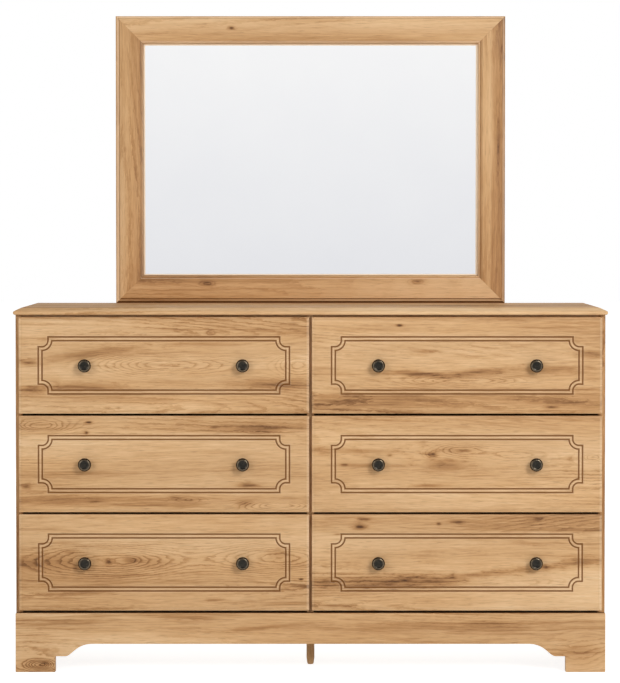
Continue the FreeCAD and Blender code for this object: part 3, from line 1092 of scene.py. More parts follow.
@dataclass
class SubAssembly:
    """What every sub-assembly has: the body that it rides on and calls that add or dress pieces."""

    body: str = "case"

    def add(self, name: str, shell: Shell, finish: Finish, *nodes: str) -> None:
        """Makes a piece of a shell, dresses it and joins it to the frame.

        Args:
            name: the piece's name.
            shell: its skin.
            finish: its finish.
            nodes: the solid nodes that it stands for.
        """
        piece = shell.to_object(name)
        piece.data.materials.append(finish.material())
        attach(piece, self.body)
        if nodes:
            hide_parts(*nodes)
        LOG.info("%s: %d faces, %s, on %s", name, len(piece.data.polygons), finish.label, self.body)

    def boarded(self, name: str, node: str, finish: Finish) -> None:
        """Stands an eased board in the place of a solid node that is a plain board."""
        self.add(name, board(*corners(node)), finish, node)

    def dress(self, finish: Finish, *nodes: str) -> None:
        """Gives solid nodes a finish.

        Args:
            finish: the finish.
            nodes: their names.
        """
        for node in nodes:
            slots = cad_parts[node].data.materials
            slots.clear()
            slots.append(finish.material())
            LOG.info("%s: solid node, %s", node, finish.label)


@dataclass
class TopPanel(SubAssembly):
    """The top: a round nose and a long bevel on the front and both ends."""

    half_width: float = 0.750
    front: float = -0.2005
    back: float = 0.1995
    underside: float = 0.905
    thickness: float = 0.018
    nose_radius: float = 0.0055
    nose_height: float = 0.005
    bevel_angle: float = math.radians(26.0)
    corner_radius: float = 0.0016
    upper_ease: float = 0.0016
    flat_run: float = 0.012
    lip_run: float = 0.004
    rear_ease: float = 0.001
    rear_foot: float = 0.0014

    def edge(self) -> Array:
        """Edge profile from the underside to the upper face.

        Formula: an arc about (nose_radius, underside + nose_height) runs from the underside to where the
        bevel touches it, and the bevel runs on to the upper face, which it meets in a soft curve.

        Returns:
            (inset, height) pairs.
        """
        low = -math.asin(self.nose_height / self.nose_radius)
        turn = np.linspace(low, RIGHT_ANGLE - self.bevel_angle, 11)
        inset = self.nose_radius * (1 - np.cos(turn))
        rise = self.underside + self.nose_height + self.nose_radius * np.sin(turn)
        upper = self.underside + self.thickness
        end = inset[-1] + (upper - rise[-1]) / math.tan(self.bevel_angle)
        bevel = np.array([[inset[-1], rise[-1]], [end, upper], [end + self.flat_run, upper]])
        soft = eased(bevel, np.array([0, self.upper_ease, 0]), 5, closed=False)
        start = [[inset[0] + self.lip_run, self.underside]]
        return np.vstack([start, np.stack([inset, rise], axis=1), soft[1:]])

    def build(self) -> None:
        """Builds and dresses the top."""
        edge = self.edge()
        inset, rise = edge.T
        near_top = 0.0006
        above = rise - (self.underside + self.thickness) + near_top
        rear = self.rear_ease * np.clip(above / near_top, 0, 1)
        rear[[0, -1]] = self.rear_foot
        half_deep = (self.back - self.front - inset - rear) / 2
        flat = rounded_rectangle(self.half_width - inset, half_deep, np.full(len(edge), self.corner_radius))
        middle = (self.back - rear + self.front + inset) / 2
        loops = spots(flat[..., 0], middle[:, None] + flat[..., 1], rise[:, None])
        finish = OakDecor(
            "Oak top",
            seed=11.0,
            grain=Grain.LEVEL,
            across=(-0.2, 0.2),
            wavy=0.0,
            # The staves give a painted highlight on the nose and bevel and a faint painted shade on the flat
            # behind them.
            staves=((0.0, 0.08), (0.008, 0.1), (0.02, 0.15), (0.034, 0.21), (0.042, -0.03), (1.0, -0.03)),
            marks=((0.35, -0.05, 0.09, 0.02, 0.3, 0.1), (-0.42, 0.06, 0.12, 0.03, 0.2, 0.15)),
        )
        self.add("oak_top", loft(loops), finish, "top_panel")


@dataclass
class Carcase(SubAssembly):
    """The case: side panels, divider, plinth, leg, rails, back and the steel runner members."""

    half_width: float = 0.7463
    plinth_height: float = 0.1496
    plinth_front: float = -0.192
    plinth_thickness: float = 0.018
    plinth_ease: float = 0.0006
    outline_ease: float = 0.002
    foot_width: float = 0.1005
    ledge_height: float = 0.040
    ledge_width: float = 0.025
    arch_height: float = 0.0715
    ogee_run: float = 0.0675
    ogee_foot_handle: float = 0.016
    ogee_arch_handle: float = 0.040
    leg_radius: float = 0.0102
    leg_foot_radius: float = 0.0083
    leg_taper: float = 0.016
    leg_height: float = 0.1316
    leg_y: float = -0.072
    leg_segments: int = 40
    nail_margin: float = 0.012
    nail_head: Rows = ((0.0, -0.0004), (0.0026, -0.0004), (0.0028, 0.0001), (0.0022, 0.0005), (0.0, 0.0006))

    def plinth_outline(self) -> Array:
        """Outline of the plinth board.

        Formula: the ogee between ledge and arch is the cubic Bezier whose two handles lie level.

        Returns:
            Its eased corners, anticlockwise from the lower right one.
        """
        inner = self.half_width - self.foot_width
        ledge = inner - self.ledge_width
        t = np.linspace(0.0, 1.0, 15)[:, None]
        start, end = np.array([ledge, self.ledge_height]), np.array([ledge - self.ogee_run, self.arch_height])
        first, second = start - [self.ogee_foot_handle, 0], end + [self.ogee_arch_handle, 0]
        ogee = (1 - t) ** 3 * start + 3 * t * (1 - t) ** 2 * first + 3 * t**2 * (1 - t) * second + t**3 * end
        hollow = np.vstack([[inner, 0.0], [inner, self.ledge_height], ogee])
        wide, high = self.half_width, self.plinth_height
        outer = np.array([[wide, 0.0], [wide, high], [-wide, high], [-wide, 0.0]])
        return eased(np.vstack([outer, hollow * [-1, 1], hollow[::-1]]), self.outline_ease)

    def plinth(self) -> Shell:
        """The plinth board: its outline stacked through its thickness, with painted shade on its top in the
        gap over it.

        Returns:
            The closed shell.
        """
        inset, rise = eased_faces(self.plinth_thickness, self.plinth_ease)
        flat = drawn_in(self.plinth_outline(), inset)
        depth = (self.plinth_front + rise)[:, None]
        made = loft(spots(flat[..., 0], depth, flat[..., 1]))
        # Painted shade on the top face, where it shows in the gap under the bottom drawers.
        upper = flat[..., 1] > self.plinth_height - 0.0007
        made.recess = np.where(upper & (depth > self.plinth_front + 0.0004), 1.0, 0.0).ravel()
        return made

    def leg(self) -> Shell:
        """The centre leg: a turned peg whose foot tapers and is rounded under.

        Returns:
            The closed shell.
        """
        r, foot, taper, high = self.leg_radius, self.leg_foot_radius, self.leg_taper, self.leg_height
        under = [[0.0, 0.0], [foot - 0.003, 0.0], [foot - 0.001, 0.0006], [foot, 0.003]]
        stem = [[r - 0.0003, taper - 0.001], [r, taper + 0.002], [r, high - 0.001]]
        over = [[r - 0.001, high], [0.0, high]]
        line = np.array(under + stem + over)
        return lathe(line, self.leg_segments, lambda a, b, h: spots(a, self.leg_y + b, h))

    def nails(self) -> Shell:
        """Wire nails round the back board: flat heads with a rounded rim.

        Returns:
            One shell of all nails.
        """
        low, high = corners("back_panel")
        x = np.linspace(low[0] + self.nail_margin, high[0] - self.nail_margin, 12)
        z = np.linspace(low[2] + self.nail_margin, high[2] - self.nail_margin, 7)
        places = [(a, high[1], c) for a in x for c in (z[0], z[-1])]
        places += [(a, high[1], c) for a in (x[0], x[-1], 0.0) for c in z[1:-1]]
        return studs(self.nail_head, 10, places)

    def build(self) -> None:
        """Builds and dresses the case."""
        low = OakDecor(
            "Oak plinth",
            seed=17.0,
            tone=0.08,
            marks=(
                (-0.683, 0.018, 0.036, 0.013, 0.14, 0.16, 0.6),
                (-0.672, 0.022, 0.01, 0.005, 0.12, 0.03),
                (-0.7, 0.024, 0.095, 0.046, 0.33),
                (-0.125, 0.112, 0.12, 0.006, 0.2, 0.0, 0.3, 0.105),
                (-0.63, 0.109, 0.09, 0.003, 0.2),
                (0.69, 0.045, 0.06, 0.055, 0.12, 0.05),
                (-0.3, 0.135, 0.08, 0.008, 0.12, 0.05),
                (0.25, 0.12, 0.14, 0.008, 0.1),
            ),
            across=(0.07, 0.15),
            staves=((0.0, 0.03), (0.44, 0.02), (0.5, -0.08), (1.0, -0.04)),
        )
        side = OakDecor("Oak side", seed=3.0, grain=Grain.UPRIGHT_SIDE, tone=-0.03)
        for hand in HANDS:
            self.boarded(f"oak_side_{hand}", f"{hand}_side_panel", side)
        self.boarded("oak_divider", "centre_divider", OakDecor("Oak divider", 6.5, Grain.UPRIGHT, 0.05))
        self.add("oak_plinth", self.plinth(), low, "front_plinth")
        self.add("oak_centre_leg", self.leg(), OakDecor("Oak leg", 8.0, Grain.UPRIGHT), "centre_leg")
        # The top rails are made lighter so that the shaded gap under the top shows lighter: painted light.
        self.dress(OakDecor("Oak top rails", 7.5, tone=0.16), "front_top_rails")
        self.dress(BOX_BOARD, "bottom_panel", "rear_top_rails", "rear_middle_rails")
        self.dress(BOX_BOARD_UPRIGHT, "plinth_corner_blocks")
        self.dress(HARDBOARD, "back_panel")
        self.dress(ZINC_STEEL, *(f"case_runners_{row}" for row in ROWS))
        self.add("back_nails", self.nails(), ZINC_STEEL)


@dataclass
class MirrorFrame(SubAssembly):
    """The mirror: four mitred rails, glass, backboard and the two upright supports."""

    half_width: float = 0.5185
    foot: float = 0.923
    height: float = 0.764
    back: float = 0.1995
    mitre_gap: float = 0.00025
    # Painted highlight on the outer strip of the top rail and the stiles.
    strip_wear: float = -0.4
    screw_spacing: float = 0.030
    screw_heights: Sequence[float] = (0.590, 0.830, 0.880, 0.960, 1.250, 1.535)
    screw_head: Rows = (
        (0, -0.0004), (0.0041, -0.0004), (0.0044, 0.0002), (0.004, 0.0012), (0.0026, 0.0021), (0, 0.0024)
    )

    def section(
        self, gap: float, step: float, groove: float, bead: float, fillet: float
    ) -> tuple[Array, Array]:
        """Section of a rail.

        Formula: a coarse outline whose corners are eased. The face is a low parabola, the bead is a single
        corner eased so far that its own parabola fills the whole side, and a bevel runs down to the glass,
        given a painted highlight in place of its bright reflection in the glass. A row of the outline holds
        the inset, the height above the back and the reach, in millimetres, and the painted light: shade above
        0, highlight below 0.

        Args:
            gap: height of the rebate under the outer edge, in millimetres, or 0.
            step: inset of the step between the outer strip and the face, in millimetres.
            groove: painted shade of the groove beside the bead, a painted highlight below 0.
            bead: painted shade of the bead, a painted highlight below 0.
            fillet: painted shade where the bevel meets the bead, a painted highlight below 0.

        Returns:
            (inset, height) pairs, anticlockwise, and the painted light of each: shade above 0, highlight
            below 0.
        """
        # pale is a strong painted highlight on the bevel down to the glass, in place of its bright reflection
        # in the glass.
        pale, bead_groove, steps = -1.6, 65.7, 5
        inner = [
            (0, 0, 0.8, 0),
            (64.5, 0, 0.6, 0),
            (64.5, 11.1, 0.5, 0),
            (77.6, 11.1, 0.3, pale),
            (77.6, 12.0, 0.3, pale),
            (75.2, 13.0, 0.2, pale),
            (73.6, 13.8, 0.4, fillet),
            (70.6, 29.4, 9, bead),
            (67.2, 24.2, 0.5, 0.7 * groove),
            (bead_groove, 23.6, 0.7, groove),
        ]
        share = np.array([1.0, 0.92, 0.7, 0.4, 0.0, -0.4, -0.7, -0.92, -1.0])
        middle, half = (bead_groove + step) / 2, (65.3 - step) / 2
        # Painted shade at the face's inner end beside the groove, and at its outer end over the step, darker
        # on the rail with a rebate.
        dark = np.where(share > 0.9, max(groove, 0), 0.0) + np.where(share < -0.99, 0.6 if gap else 0.1, 0.0)
        crown = 1 - share**2
        face = np.stack([middle + half * share, 26 + 4 * crown, 0.6 + 1.4 * crown, dark], axis=1)
        # The outer strip: painted shade under the step of the rail with a rebate, a painted highlight on the
        # other rails.
        strip = 0.35 if gap else self.strip_wear
        # Painted shade along the step, and painted shadow in the rebate where the frame meets the top.
        outer = [
            (step, 22.2, 0.8, 1.3 if gap else 0.5),
            (step - 2.0, 22.0, 0.5, strip),
            (gap + 1.2 if gap else 3.4, 22.0, 0.2, strip),
        ]
        outer += [(gap, 22, 0.4, 0.8), (gap, 15, 0.3, 1.2), (0, 15, 0.3, 1.2)] if gap else [(0, 22, 2.4, 0.1)]
        outline = np.vstack([inner, face, outer])
        return eased(outline[:, :2] * MM, outline[:, 2] * MM, steps), np.repeat(outline[:, 3], steps)

    def rail(
        self, half_length: float, shape: Sequence[float], turn: Callable[[Array, Array], tuple[Array, Array]]
    ) -> Shell:
        """One mitred rail.

        Formula: the section's point at inset u is carried along the rail from s = u - half_length to
        s = half_length - u. At both ends the section is drawn in a little, which leaves a fine V at the
        mitre.

        Args:
            half_length: half the outer length.
            shape: the values of the section.
            turn: gives x and z for the arrays s and u.

        Returns:
            The closed shell.
        """
        line, shade = self.section(*shape)
        ends = drawn_in(line, np.array([self.mitre_gap, 0, 0, self.mitre_gap]))
        pull = np.array([0.0, self.mitre_gap, self.mitre_gap, 0.0])[:, None]
        s = np.array([-1, -1, 1, 1])[:, None] * (half_length - ends[..., 0] - pull)
        x, z = turn(s, ends[..., 0])
        made = loft(spots(x, self.back - ends[..., 1], z))
        # The painted light of the section, carried along the rail.
        made.recess = np.tile(shade, 4)
        return made

    def screws(self) -> Shell:
        """Pan-head screws that hold the supports to the mirror and to the case.

        Returns:
            One shell of all screws.
        """
        places = []
        for hand in HANDS:
            low, high = corners(f"mirror_support_{hand}")
            middle, apart = (low[0] + high[0]) / 2, self.screw_spacing / 2
            places += [(x, high[1], z) for z in self.screw_heights for x in (middle - apart, middle + apart)]
        return studs(self.screw_head, 20, places)

    def finishes(self) -> Sequence[OakDecor]:
        """The decor of the rails.

        Returns:
            That of the top rail, the bottom rail, the left stile and the right stile.
        """
        return (
            OakDecor(
                "Oak frame top",
                seed=21.0,
                strength=0.65,
                wavy=0.006,
                across=(1.6125, 1.687),
                staves=(
                    (0, -0.08), (0.12, -0.04), (0.3, -0.04), (0.36, -0.09),
                    (0.42, -0.03), (0.85, 0.05), (1, 0.04),
                ),
                marks=((-0.21, 1.655, 0.012, 0.006, 0.45, 0.04),),
            ),
            OakDecor(
                "Oak frame bottom",
                seed=24.0,
                strength=0.65,
                wavy=0.003,
                across=(0.923, 0.9975),
                staves=((0, 0.0), (0.2, 0.01), (0.64, 0.02), (0.8, -0.06), (1, -0.09)),
                marks=((-0.275, 0.975, 0.02, 0.007, 0.4, 0.05), (0.285, 0.98, 0.02, 0.008, 0.4, 0.05)),
            ),
            OakDecor(
                "Oak frame left",
                seed=27.0,
                tone=-0.07,
                grain=Grain.UPRIGHT,
                strength=0.75,
                wavy=0.008,
                across=(0.444, 0.5185),
                staves=(
                    (0, -0.18), (0.1, -0.17), (0.3, -0.14), (0.5, -0.11),
                    (0.6, -0.03), (0.8, 0.04), (0.86, 0.1), (1, 0.0),
                ),
            ),
            OakDecor(
                "Oak frame right",
                seed=31.0,
                tone=-0.09,
                grain=Grain.UPRIGHT,
                strength=0.75,
                wavy=0.008,
                across=(-0.5185, -0.444),
                staves=(
                    (0, -0.14), (0.3, -0.13), (0.46, -0.1), (0.55, 0.01),
                    (0.7, -0.05), (0.9, -0.09), (1, -0.11),
                ),
                marks=((1.35, -0.50, 0.12, 0.008, 0.2, 0.1),),
            ),
        )

    def build(self) -> None:
        """Builds and dresses the mirror."""
        upper, middle = self.foot + self.height, self.foot + self.height / 2
        wide, high = self.half_width, self.height / 2
        # The last three values of each shape are the painted light of groove, bead and fillet, set rail by
        # rail for how the light falls on that side.
        rails = (
            ("top_rail", wide, (0.0, 6.6, -0.6, -0.3, 0.1), lambda s, u: (s, upper - u)),
            ("bottom_rail", wide, (5.2, 12.0, -0.9, 0.0, 0.4), lambda s, u: (s, self.foot + u)),
            ("left_stile", high, (0.0, 10.4, -0.3, -0.2, -0.3), lambda s, u: (u - wide, middle + s)),
            ("right_stile", high, (0.0, 8.0, 0.4, -0.3, -1.6), lambda s, u: (wide - u, middle + s)),
        )
        for (name, *form), finish in zip(rails, self.finishes()):
            self.add(f"frame_{name}", self.rail(*form), finish, f"mirror_{name}")
        self.dress(SILVERED_GLASS, "mirror_glass")
        self.dress(HARDBOARD, "mirror_backboard")
        for hand in HANDS:
            self.boarded(f"upright_support_{hand}", f"mirror_support_{hand}", BOX_BOARD_UPRIGHT)
        self.add("support_screws", self.screws(), ZINC_STEEL)


@dataclass
class Knob:
    """A round knob with a rolled rim, a ring groove and a low dome.

    Attributes:
        length: how far it stands out.
        segments: steps round it.
        dish_radius: where the dish ends and the crest starts.
        outline: (radius, height) pairs from its seat to its middle, in millimetres.
    """

    length: float = 0.025
    segments: int = 48
    dish_radius: float = 0.011
    outline: Rows = (
        (0, 0), (8.0, 0), (8.4, 0.7), (7.5, 1.9), (6.9, 5.0), (7.0, 10.0), (8.4, 13.6), (12.0, 15.4),
        (15.2, 16.3), (16.4, 17.8), (16.75, 19.4), (16.5, 20.9), (15.9, 21.8), (15.4, 21.9), (15.1, 21.7),
        (14.9, 22.2), (14.6, 23.1), (14.1, 24.0), (13.5, 24.5), (12.7, 24.82), (11.8, 25.0), (10.9, 24.98),
        (9.6, 24.6), (8.4, 24.3), (5.0, 24.2), (0, 24.2),
    )

    def shell(self, x: float, y: float, z: float) -> Shell:
        """The knob at a place on the front.

        Args:
            x: place across.
            y: the face that it stands on.
            z: place up.

        Returns:
            The closed shell.
        """
        line = flowing(np.array(self.outline) * MM, 3)
        line[:, 0] = np.maximum(line[:, 0], 0.0)
        line[:, 1] = np.clip(line[:, 1], 0.0, self.length)
        made = lathe(line, self.segments, lambda a, b, h: spots(x + a, y - h, z + b))
        radius, height = line[1:-1].T
        dish = np.clip((self.dish_radius - radius) / 0.001, 0, 1) * (height > 0.022)
        crest = np.clip((radius - self.dish_radius) / 0.001, 0, 1) * np.clip((height - 0.0226) / 0.0008, 0, 1)
        made.recess = np.concatenate([np.repeat(dish - crest, self.segments), [0.0, 1.0]])
        return made


@dataclass(frozen=True)
class FrontDecor:
    """What sets one drawer front's decor apart.

    Attributes:
        seed: place in the endless board.
        tone: added to the tone all over.
        staves: tones from its foot to its top.
        marks: its knots, smudges and eyes.
    """

    seed: float
    tone: float
    staves: Rows
    marks: Rows


FRONT_ACROSS = {"top": (0.655, 0.899), "middle": (0.4055, 0.6495), "bottom": (0.156, 0.3999)}
FRONT_DECORS = {
    "top_left": FrontDecor(
        40.0, -0.02, ((0.0, 0.0), (0.8, 0.0), (1.0, 0.02)),
        (
            (-0.374, 0.78, 0.17, 0.03, -0.08, 0.22), (-0.031, 0.78, 0.06, 0.035, -0.06, 0.14),
            (-0.56, 0.805, 0.146, 0.014, 0.29, 0.0, 0.2, 0.12), (-0.243, 0.83, 0.146, 0.01, 0.2),
            (-0.58, 0.724, 0.134, 0.013, 0.26), (-0.344, 0.735, 0.134, 0.01, 0.14),
            (-0.077, 0.73, 0.106, 0.018, 0.32), (-0.711, 0.786, 0.031, 0.007, 0.34),
            (-0.706, 0.716, 0.045, 0.009, 0.3), (-0.253, 0.859, 0.014, 0.007, 0.26, 0.02, 0.6),
            (-0.495, 0.694, 0.168, 0.011, 0.14),
        ),
    ),
    "top_right": FrontDecor(
        43.0, -0.12,
        ((0.0, 0.02), (0.05, 0.0), (0.07, -0.08), (0.19, -0.09), (0.21, 0.02), (0.6, 0.0), (1.0, 0.04)),
        (
            (0.225, 0.8785, 0.011, 0.004, 0.5, 0.03, 0.7), (0.185, 0.869, 0.179, 0.009, 0.17),
            (0.286, 0.812, 0.036, 0.007, 0.26), (0.276, 0.755, 0.084, 0.009, 0.29, 0.0, 0.3, -0.08),
            (0.422, 0.76, 0.101, 0.01, 0.32, 0.0, 0.3, 0.1), (0.6, 0.768, 0.123, 0.011, 0.28, 0.0, 0.3, 0.04),
            (0.706, 0.806, 0.039, 0.011, 0.31), (0.031, 0.77, 0.045, 0.006, 0.18),
            (0.396, 0.738, 0.15, 0.016, -0.06, 0.16), (0.623, 0.684, 0.134, 0.015, 0.12),
            (0.608, 0.673, 0.02, 0.004, 0.28),
        ),
    ),
    "middle_left": FrontDecor(
        46.4, 0.0,
        ((0.0, -0.1), (0.14, -0.1), (0.17, 0.03), (0.5, 0.05), (0.83, 0.0), (0.87, -0.19), (1.0, -0.19)),
        (
            (-0.559, 0.6333, 0.011, 0.004, 0.55, 0.02, 0.7), (-0.566, 0.607, 0.008, 0.005, 0.55, 0.02, 0.7),
            (-0.243, 0.6207, 0.013, 0.004, 0.3), (-0.127, 0.616, 0.073, 0.014, 0.24),
            (-0.681, 0.623, 0.075, 0.02, 0.04, 0.18), (-0.157, 0.474, 0.032, 0.007, 0.38),
            (-0.718, 0.4715, 0.016, 0.008, 0.36), (-0.6, 0.436, 0.146, 0.015, 0.17),
            (-0.545, 0.4336, 0.02, 0.003, 0.28), (-0.344, 0.4437, 0.016, 0.004, 0.26),
            (-0.308, 0.4387, 0.05, 0.01, 0.0, 0.09), (-0.167, 0.4286, 0.026, 0.011, 0.24),
            (-0.077, 0.4245, 0.1, 0.016, -0.03, 0.2),
        ),
    ),
    "middle_right": FrontDecor(
        49.0, -0.07, ((0.0, 0.04), (0.2, 0.03), (0.24, -0.01), (0.6, 0.01), (0.8, -0.06), (1.0, -0.1)),
        (
            (0.306, 0.5525, 0.017, 0.009, 0.46, 0.05, 0.8), (0.376, 0.5635, 0.07, 0.019, 0.2, 0.12),
            (0.341, 0.527, 0.067, 0.018, 0.26), (0.283, 0.58, 0.014, 0.007, 0.16),
            (0.2, 0.55, 0.008, 0.004, 0.46, 0.01, 0.7), (0.087, 0.526, 0.012, 0.004, 0.4, 0.01, 0.7),
            (0.115, 0.56, 0.112, 0.011, 0.24), (0.029, 0.5626, 0.05, 0.013, 0.26),
            (0.13, 0.5236, 0.078, 0.009, 0.19), (0.301, 0.473, 0.045, 0.006, 0.34),
            (0.17, 0.457, 0.067, 0.006, 0.22), (0.517, 0.552, 0.1, 0.02, 0.08, 0.1),
            (0.658, 0.542, 0.016, 0.008, 0.18), (0.714, 0.545, 0.035, 0.014, 0.03, 0.14),
        ),
    ),
    "bottom_left": FrontDecor(
        52.0, 0.03, ((0.0, 0.0), (0.2, 0.04), (0.24, -0.02), (0.5, -0.01), (0.82, 0.02), (1.0, 0.03)),
        (
            (-0.5, 0.283, 0.2, 0.042, 0.02, 0.26), (-0.09, 0.287, 0.16, 0.04, 0.02, 0.22),
            (-0.716, 0.276, 0.045, 0.018, 0.15), (-0.65, 0.281, 0.09, 0.019, 0.14),
            (-0.61, 0.3, 0.03, 0.007, 0.22, 0.02, 0.6), (-0.51, 0.28, 0.007, 0.007, 0.22),
            (-0.457, 0.283, 0.026, 0.009, 0.26, 0.03, 0.5), (-0.4, 0.281, 0.067, 0.013, 0.14),
            (-0.082, 0.298, 0.031, 0.011, 0.24), (-0.045, 0.285, 0.056, 0.02, 0.14),
            (-0.024, 0.2386, 0.006, 0.004, 0.6, 0.01, 0.6), (-0.57, 0.203, 0.101, 0.007, 0.22),
            (-0.243, 0.183, 0.039, 0.004, 0.29),
        ),
    ),
    "bottom_right": FrontDecor(
        55.0, 0.03, ((0.0, 0.02), (0.2, 0.04), (0.5, 0.03), (0.8, 0.04), (0.85, -0.12), (1.0, -0.13)),
        (
            (0.1256, 0.3683, 0.02, 0.009, 0.5, 0.05, 0.8), (0.1397, 0.3885, 0.018, 0.004, 0.34),
            (0.069, 0.3496, 0.013, 0.003, 0.36), (0.3236, 0.377, 0.006, 0.004, 0.44, 0.01, 0.7),
            (0.374, 0.381, 0.02, 0.004, 0.44, 0.01, 0.7), (0.575, 0.3885, 0.014, 0.005, 0.38, 0.02, 0.7),
            (0.15, 0.2295, 0.123, 0.019, 0.31), (0.3, 0.233, 0.112, 0.015, 0.29),
            (0.432, 0.247, 0.123, 0.01, 0.31, 0.0, 0.3, 0.09),
            (0.575, 0.262, 0.101, 0.011, 0.29, 0.0, 0.3, 0.1),
            (0.68, 0.277, 0.09, 0.015, 0.34, 0.0, 0.3, 0.06),
            (0.548, 0.2295, 0.14, 0.014, 0.0, 0.1, 0.3, 0.08),
            (0.03, 0.2295, 0.045, 0.01, 0.22), (0.055, 0.169, 0.073, 0.005, 0.32),
        ),
    ),
}


@dataclass
class Drawer(SubAssembly):
    """One drawer: a moulded front with two knobs, and its box."""

    row: str = "top"
    hand: str = "left"
    thickness: float = 0.018
    bevel_run: float = 0.007
    bevel_depth: float = 0.0012
    half_moulding_width: float = 0.317
    half_moulding_height: float = 0.072
    scoop_radius: float = 0.0158
    shoulder: float = 0.0089
    groove_half: float = 0.0025
    groove_depth: float = 0.0018
    groove_spacing: float = 0.0095
    knob_spacing: float = 0.398
    bead_fall: float = 0.0009
    # Painted light on the front, as shares of the pale and dark-brown colours: a painted highlight on the
    # flat lips by the grooves and on the upright edges of the bevel, strongest on the right; painted shade
    # along the lower edge; painted shadow of the overhanging top along the top row's upper edge; a faint
    # painted highlight on the other rows' upper edge.
    lip_wear: float = -0.22
    right_edge: float = -0.3
    left_edge: float = -0.1
    level_edge: float = -0.05
    lower_edge: float = 0.08
    upper_edge: float = 0.22
    points_on_line: int = 4
    points_on_curve: int = 14
    screw_head: Rows = (
        (0, -0.0003), (0.0044, -0.0003), (0.0046, 0.0003), (0.004, 0.0012), (0.0024, 0.0019), (0, 0.0021)
    )

    def side_corner(self, inset: Array, corner: float = 0.0016, reach: float = 0.034) -> Array:
        """Upper right quarter of the front's rectangle, from its side to its top.

        Formula: points on the side that near the corner, a quarter circle, and points on the top that leave
        it.

        Args:
            inset: distances in from the front's edge, shape (k,).
            corner: corner radius.
            reach: how far from the corner the points start.

        Returns:
            Distances in from the side and down from the top, shape (k, n, 2), the insets included.
        """
        run = np.linspace(reach, corner * 1.5, self.points_on_line)
        turn = np.linspace(0.0, RIGHT_ANGLE, self.points_on_curve)
        side = np.stack([np.zeros_like(run), run], axis=1)
        arc = corner * np.stack([1 - np.cos(turn), 1 - np.sin(turn)], axis=1)
        return np.vstack([side, arc, side[::-1, ::-1]])[None] + inset[:, None, None]

    def scoop_corner(self, inset: Array, hold: float = 0.0006) -> Array:
        """Upper right quarter of the moulding's line, with its shoulders and its scoop.

        Formula: with s = shoulder - inset and R = scoop_radius + inset, the line runs level for s, round a
        quarter circle of radius R about the point (s, s) in from the corner, and upright for s. Where s is
        below 0 the circle meets the sides themselves. The points are spread evenly by length.

        Args:
            inset: distances in from the moulding's outer line, shape (k,).
            hold: distance from a sharp turn to the points that keep the shading near it.

        Returns:
            Distances in from the side and down from the top, shape (k, n, 2), the insets included.
        """
        s = (self.shoulder - inset)[:, None]
        radius = (self.scoop_radius + inset)[:, None]
        flat = np.maximum(s, 0.0)
        start = np.arcsin(np.clip(-s / radius, 0, 1))
        corner = s + radius * np.cos(start)
        arc = radius * (math.pi / 2 - 2 * start)
        count = 2 * self.points_on_line + self.points_on_curve - 4
        way = hold + np.linspace(0.0, 1.0, count)[None] * (2 * flat + arc - 2 * hold)
        angle = start + np.clip((way - flat) / radius, 0.0, math.pi / 2 - 2 * start)
        p = s + radius * np.sin(angle) - np.maximum(flat - way, 0.0)
        q = s + radius * np.cos(angle) - np.maximum(way - flat - arc, 0.0)
        zero = np.zeros_like(corner)
        p = np.concatenate([zero, zero, p, corner, corner + hold], axis=1)
        q = np.concatenate([corner + hold, corner, q, zero, zero], axis=1)
        return np.stack([p, q], axis=-1) + inset[:, None, None]

    @staticmethod
    def all_round(quarter: Array, half_wide: float, half_high: float) -> Array:
        """Whole loops from their upper right quarters, mirrored into the other three.

        Args:
            quarter: distances in from the side and down from the top, shape (k, n, 2).
            half_wide: half the width of the loop without inset.
            half_high: half its height.

        Returns:
            Loops about the centre, shape (k, 4 * n, 2), anticlockwise.
        """
        first = np.array([half_wide, half_high]) - quarter
        second = first[:, ::-1] * [-1, 1]
        return np.concatenate([first, second, -first, -second], axis=1)

    def across_moulding(self, around: float = 0.0016) -> tuple[Array, Array, Array]:
        """Section across the two grooves and the bead between them.

        Formula: at v, the distance from a groove's middle over its half width, the groove is (1 - v^4)^2
        deep, and the bead between falls away from its middle as the square of the distance.

        Args:
            around: width of the flat outside each groove.

        Returns:
            Insets, depths and the painted highlight on the lips.
        """
        v = np.array([-1.0, -0.88, -0.76, -0.62, -0.45, -0.2, 0.2, 0.45, 0.62, 0.76, 0.88, 1.0])
        half, last = self.groove_half, self.groove_spacing + self.groove_half
        bead = np.linspace(half, self.groove_spacing - half, 7)[1:-1]
        inset = np.concatenate([[-half - around], half * v, bead, last - half * (1 - v), [last + around]])
        groove = self.groove_depth * (1 - v**4) ** 2
        depth = np.concatenate([[0.0], groove, 0 * bead, groove, [0.0]])
        # A painted highlight on the flat lips beside the grooves.
        lip = np.where(depth < 1e-6, self.lip_wear, 0.0)
        lip[[0, -1]] = 0.0
        middle = self.groove_spacing / 2
        reach = middle + half * 0.4
        off = inset - middle
        fall = np.where(np.abs(off) < reach, self.bead_fall * (off / reach) ** 2, 0.0)
        return inset, np.maximum(depth, fall), lip

    def rim_shade(self, edge: Array, loop: Array) -> Array:
        """Painted light on the bevel: painted highlight on the sides, painted shade below and over the top.

        Args:
            edge: (inset, depth) pairs of the edge profile.
            loop: the outermost loop about the centre.

        Returns:
            The painted light, shape (pairs, points on the loop).
        """
        inset = edge[:, 0] * 1000
        # How much of the painted light each point across the bevel takes, and a thin painted shade line at
        # the bevel's foot.
        worn = np.interp(inset, [0.0, 1.0, 5.5, 7.5, 9.5], [0.0, 1.0, 0.7, 0.0, 0.0])[:, None]
        line = np.interp(inset, [5.5, 7.5, 9.5], [0.0, 0.12, 0.0])[:, None]
        side = loop / np.maximum(np.abs(loop).max(axis=0), 1e-9)
        reach = np.abs(side) ** 24
